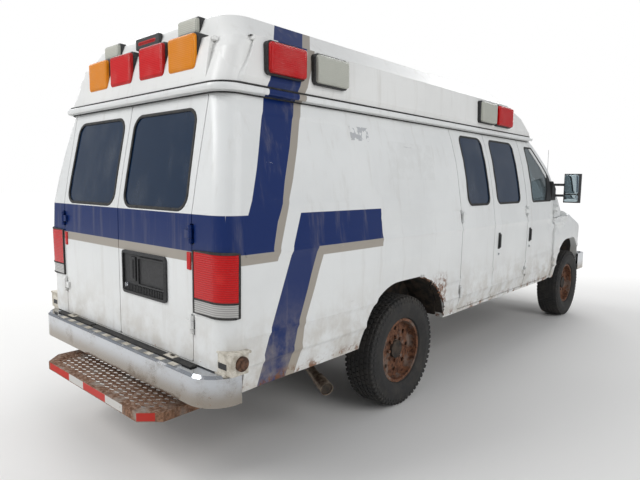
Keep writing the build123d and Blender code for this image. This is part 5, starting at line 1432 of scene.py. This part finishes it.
slices = 62
tread = repeated(tread_slice(), ring_tree, slices, (math.tau / slices, 0, 0), tyre_finish)
nut = Shape()
nut.lathe([(0.0, 0.0005), (0.0, 0.013), (0.010, 0.013), (0.018, 0.010), (0.019, 0.0005)],
          (0, 0, nut_circle), 6)
nuts = repeated(nut, ring_tree, nut_count, (math.tau / nut_count, 0, 0), rim_finish)
print("tread slices a tyre:", slices)

# %% Four tyres and their nuts
for name, side, x, y in wheels:
    shape = Shape()
    shape.lathe(carcass, (0, 0, 0), 96)
    bmesh.ops.recalc_face_normals(shape.mesh, faces=shape.mesh.faces)
    wall = bpy.data.meshes.new(name)
    shape.mesh.to_mesh(wall)
    shape.mesh.free()
    centre = (side * x, y, axle_height)
    joined([(wall, centre, 0), (tread, centre, 0)], name + "_tyre_tread", [tyre_finish],
           body_of[name + "_tyre"], [name + "_tyre"], 40)
    nut_out = x + (0.034 if side > 0 else 0.053)
    joined([(nuts, (side * nut_out, y, axle_height), 0)], name + "_nuts", [rim_finish],
           body_of[name + "_rim"])
print("tyres:", len(wheels), "with", nut_count, "nuts each")

# %% [markdown]
# ## Seats
# Padding is never a block: each cushion is a crowned form that bulges between its seams. A
# finely cut cube is pushed towards a rounded form, its sides drawn in between the corners, and
# two sewn channels are pressed into its face. A plastic base carries it.


# %% A crowned cushion
cuts, roundness, fullness = 23, 5.0, 0.99
channel_place, channel_half, cross_place, cross_half = 0.58, 0.06, 0.15, 0.05


def cushion(name, low, high, lean, face):
    """A crowned cushion in its box; lean is its slope, face the axis of its sat-on side."""
    mesh = bmesh.new()
    bmesh.ops.create_cube(mesh, size=2)
    bmesh.ops.subdivide_edges(mesh, edges=mesh.edges[:], cuts=cuts, use_grid_fill=True)
    half = [(b - a) / 2 for a, b in zip(low, high)]
    middle = [(a + b) / 2 for a, b in zip(low, high)]
    for vert in mesh.verts:
        p = vert.co.copy()
        size = sum(abs(c) ** roundness for c in p) ** (1 / roundness)
        biggest = max(abs(c) for c in p)
        p = p / size * biggest
        wall = 1 - 0.05 * (1 - p.z * p.z) * (1 - abs(p.x)) - 0.03 * (1 - abs(p.x) ** 2)
        channel = sum(max(0.0, 1 - abs(p.x - line) / channel_half) ** 2
                      for line in (-channel_place, channel_place))
        cross = max(0.0, 1 - abs(p[3 - face] - cross_place) / cross_half) ** 2
        cross *= abs(p.x) < channel_place
        drop = 1 - 0.16 * min(1.0, channel + cross) * (p[face] * (1 if face == 2 else -1) > 0.5)
        crown = 0.90 + 0.10 * (1 - p.x * p.x) * (1 - p[3 - face] ** 2)
        p[face] *= drop * crown
        p[3 - face] *= min(1.0, wall + 0.05)
        place = [m + h * fullness * c for m, h, c in zip(middle, half, p)]
        place[1] += lean * (place[2] - middle[2])
        vert.co = place
    piece = settle(mesh, name, [seat_cloth], "body", ["front_seats"], 60)


# %% Seats and their bases
for side, word in ((-1, "right"), (1, "left")):
    x_low, x_high = sorted((side * 0.346, side * 0.814))
    cushion(word + "_seat_cushion", (x_low, -1.198, 0.885), (x_high, -0.764, 0.999), 0.0, 2)
    cushion(word + "_seat_back", (x_low, -0.872, 1.004), (x_high, -0.762, 1.618), 0.14, 1)
shape = Shape()
for side in (-1, 1):
    x_low, x_high = sorted((side * 0.405, side * 0.755))
    shape.box((x_low, -1.140, 0.715), (x_high, -0.820, 0.884), 0.01, 0, 3)
    for x in (x_low + 0.04, x_high - 0.04):
        shape.box((x - 0.015, -1.18, 0.8765), (x + 0.015, -0.78, 0.8835), 0.003, 0, 1)
    shape.box((x_low - 0.03, -0.865, 0.90), (x_low - 0.005, -0.80, 1.00), 0.006, 0, 2)
shape.build("seat_bases", [black_plastic], "body", ["front_seats"])
print("seats padded")

# %% [markdown]
# ## Mirrors and the front end
# The photograph doesn't show the front, so it gets only what such a van must have: lenses,
# grille bars, wipers and an antenna. The mirrors do show: each has a tall flat glass over a
# small convex one, and a black sail on the door's window before it.

# %% Mirrors and their sails
glass_y = -1.669
for side, node in ((-1, "right_mirror"), (1, "left_mirror")):
    settle(merged(node), node + "_housing", [black_plastic], body_of[node],
           [node], 50)
    shape = Shape()
    x_low, x_high = sorted((side * 1.074, side * 1.214))
    for z_low, z_high, bulge in ((1.452, 1.650, 0.0), (1.367, 1.440, 0.003)):
        rings = []
        for inset, out in ((0.0, 0.0), (0.0, 0.0035), (0.004, 0.005), (0.03, 0.005 + bulge)):
            rings.append([Vector((a, glass_y + out, b)) for a, b in inset_outline(
                (x_low, z_low), (x_high, z_high), inset, 0.018 - inset / 2)])
        shape.loops(rings, 0)
    shape.build(node + "_glass", [mirror_glass], body_of[node])

for side, body in ((-1, "right_cab_door"), (1, "left_cab_door")):
    shape = Shape()
    sail = [(-1.536, 1.384), (-1.37, 1.384), (-1.44, 1.50), (-1.478, 1.655), (-1.536, 1.600)]
    shape.loops([[side_point(side, a, b, lift) for a, b in sail] for lift in (-0.004, 0.007)], 0)
    shape.build(body + "_sail", [black_plastic], body)
print("mirrors glazed")

# %% Headlamps, grille, wipers and antenna
shape = Shape()
face = -2.895
for side in (-1, 1):
    x_low, x_high = sorted((side * 0.588, side * 0.897))
    for low, high, finish in (((x_low, 0.845), (x_high, 0.982), 0),
                              ((x_low, 0.793), (x_high, 0.838), 1)):
        rings = []
        for inset, y in ((0.0, -2.828), (0.0, face + 0.02), (0.006, face + 0.006), (0.02, face)):
            rings.append([Vector((a, y + 0.05 * max(0, abs(a) - 0.7), b))
                          for a, b in inset_outline(low, high, inset, 0.014 - inset / 2)])
        shape.loops(rings, finish)
shape.build("headlamp_lenses", [clear_lens, amber_lens], "body", ["headlamps"], 30)
shape = Shape()
for row in range(5):
    z = 0.768 + row * 0.05
    shape.box((-0.525, -2.93, z), (0.525, -2.912, z + 0.012), 0.003, 0, 1)
shape.build("grille_bars", [grey_plastic], "body")
shape = Shape()
for side in (-1, 1):
    foot = Vector((0.25 + side * 0.35, -2.065, 1.262))
    arm = foot + Vector((-0.33, 0.315, 0.268))
    lift = shield_facing * 0.016
    shape.strip([foot + lift, foot.lerp(arm, 0.5) + lift * 1.3, arm + lift], [shield_facing] * 3,
                oval(0.005, 0.008, 6), closed=False)
    blade = [arm + Vector((-0.02 + 0.24 * t, -0.12 * t, -0.102 * t)) + lift * 0.7
             for t in (-1, 0, 1)]
    shape.strip(blade, [shield_facing] * 3, oval(0.004, 0.007, 6), closed=False)
rod_foot = Vector((-0.800, -1.93, 1.175))
shape.lathe([(0, 0.001), (0, 0.022), (0.03, 0.014), (0.05, 0.004), (0.05, 0.001)], rod_foot, 16,
            0, "z")
shape.lathe([(0, 0.0005), (0, 0.0024), (0.76, 0.0016), (0.76, 0.0005)], rod_foot, 8, 0, "z")
shape.build("wipers_and_antenna", [black_plastic], "body")
print("front dressed")

# %% [markdown]
# ## Torn sheet at the wheel arch
# The arch ahead of the right rear wheel is rusted through. Thin ragged flakes hang from its
# edge, drawn by a seeded random generator so that every run gives the same ones.

# %% The opening's edge
arch_half, arch_top, arch_corner = 0.525, 0.898, 0.394
arch_y, arch_centre_z = 1.242, arch_top - arch_corner
arch_centre_y = arch_y - arch_half + arch_corner
arch_sweep, sheet_lift, sheet_thick = math.radians(84), 0.0022, 0.0018


def arch_edge(t):
    """A point on the front edge of the CAD opening, 0 at its top and 1 at its foot."""
    turn = t * arch_sweep
    return Vector((0, arch_centre_y - arch_corner * math.sin(turn),
                   arch_centre_z + arch_corner * math.cos(turn)))


def sheet_point(point, lift):
    """The same place on the right-hand skin, lifted off it."""
    return Vector((-skin_half(point.z) - lift, point.y, point.z))


print("arch edge runs", round(arch_sweep * arch_corner, 3), "m")

# %% Flakes along the edge
random.seed(12)
shape = Shape()
parts = 44
reach = [0.012 + 0.030 * math.sin(math.pi * min(1, i / parts * 1.1)) for i in range(parts + 1)]
reach = [max(0.004, r * random.uniform(0.45, 1.25)) for r in reach]
curl = [random.uniform(-0.006, 0.010) for _ in reach]
rows = []
for i, (r, c) in enumerate(zip(reach, curl)):
    edge = arch_edge(i / parts)
    inward = (Vector((0, arch_centre_y + 0.10, arch_centre_z - 0.05)) - edge).normalized()
    rows.append([sheet_point(edge - inward * 0.010, sheet_lift)]
                + [sheet_point(edge + inward * r * part, sheet_lift + share * c)
                   for part, share in ((0.55, 0.2), (0.8, 0.6), (1, 1))])
for lower, upper in zip(rows, rows[1:]):
    for k, finish in ((0, 0), (1, 1), (2, 1)):
        quad = [lower[k], lower[k + 1], upper[k + 1], upper[k]]
        back = [p + Vector((sheet_thick, 0, 0)) for p in quad]
        shape.grow(quad + back, [(3, 2, 1, 0), (4, 5, 6, 7), (0, 1, 5, 4), (1, 2, 6, 5),
                                 (2, 3, 7, 6), (3, 0, 4, 7)], finish)
shape.build("torn_arch_edge", [white_paint, rim_finish], "body", (), 30)
print("arch edge torn")
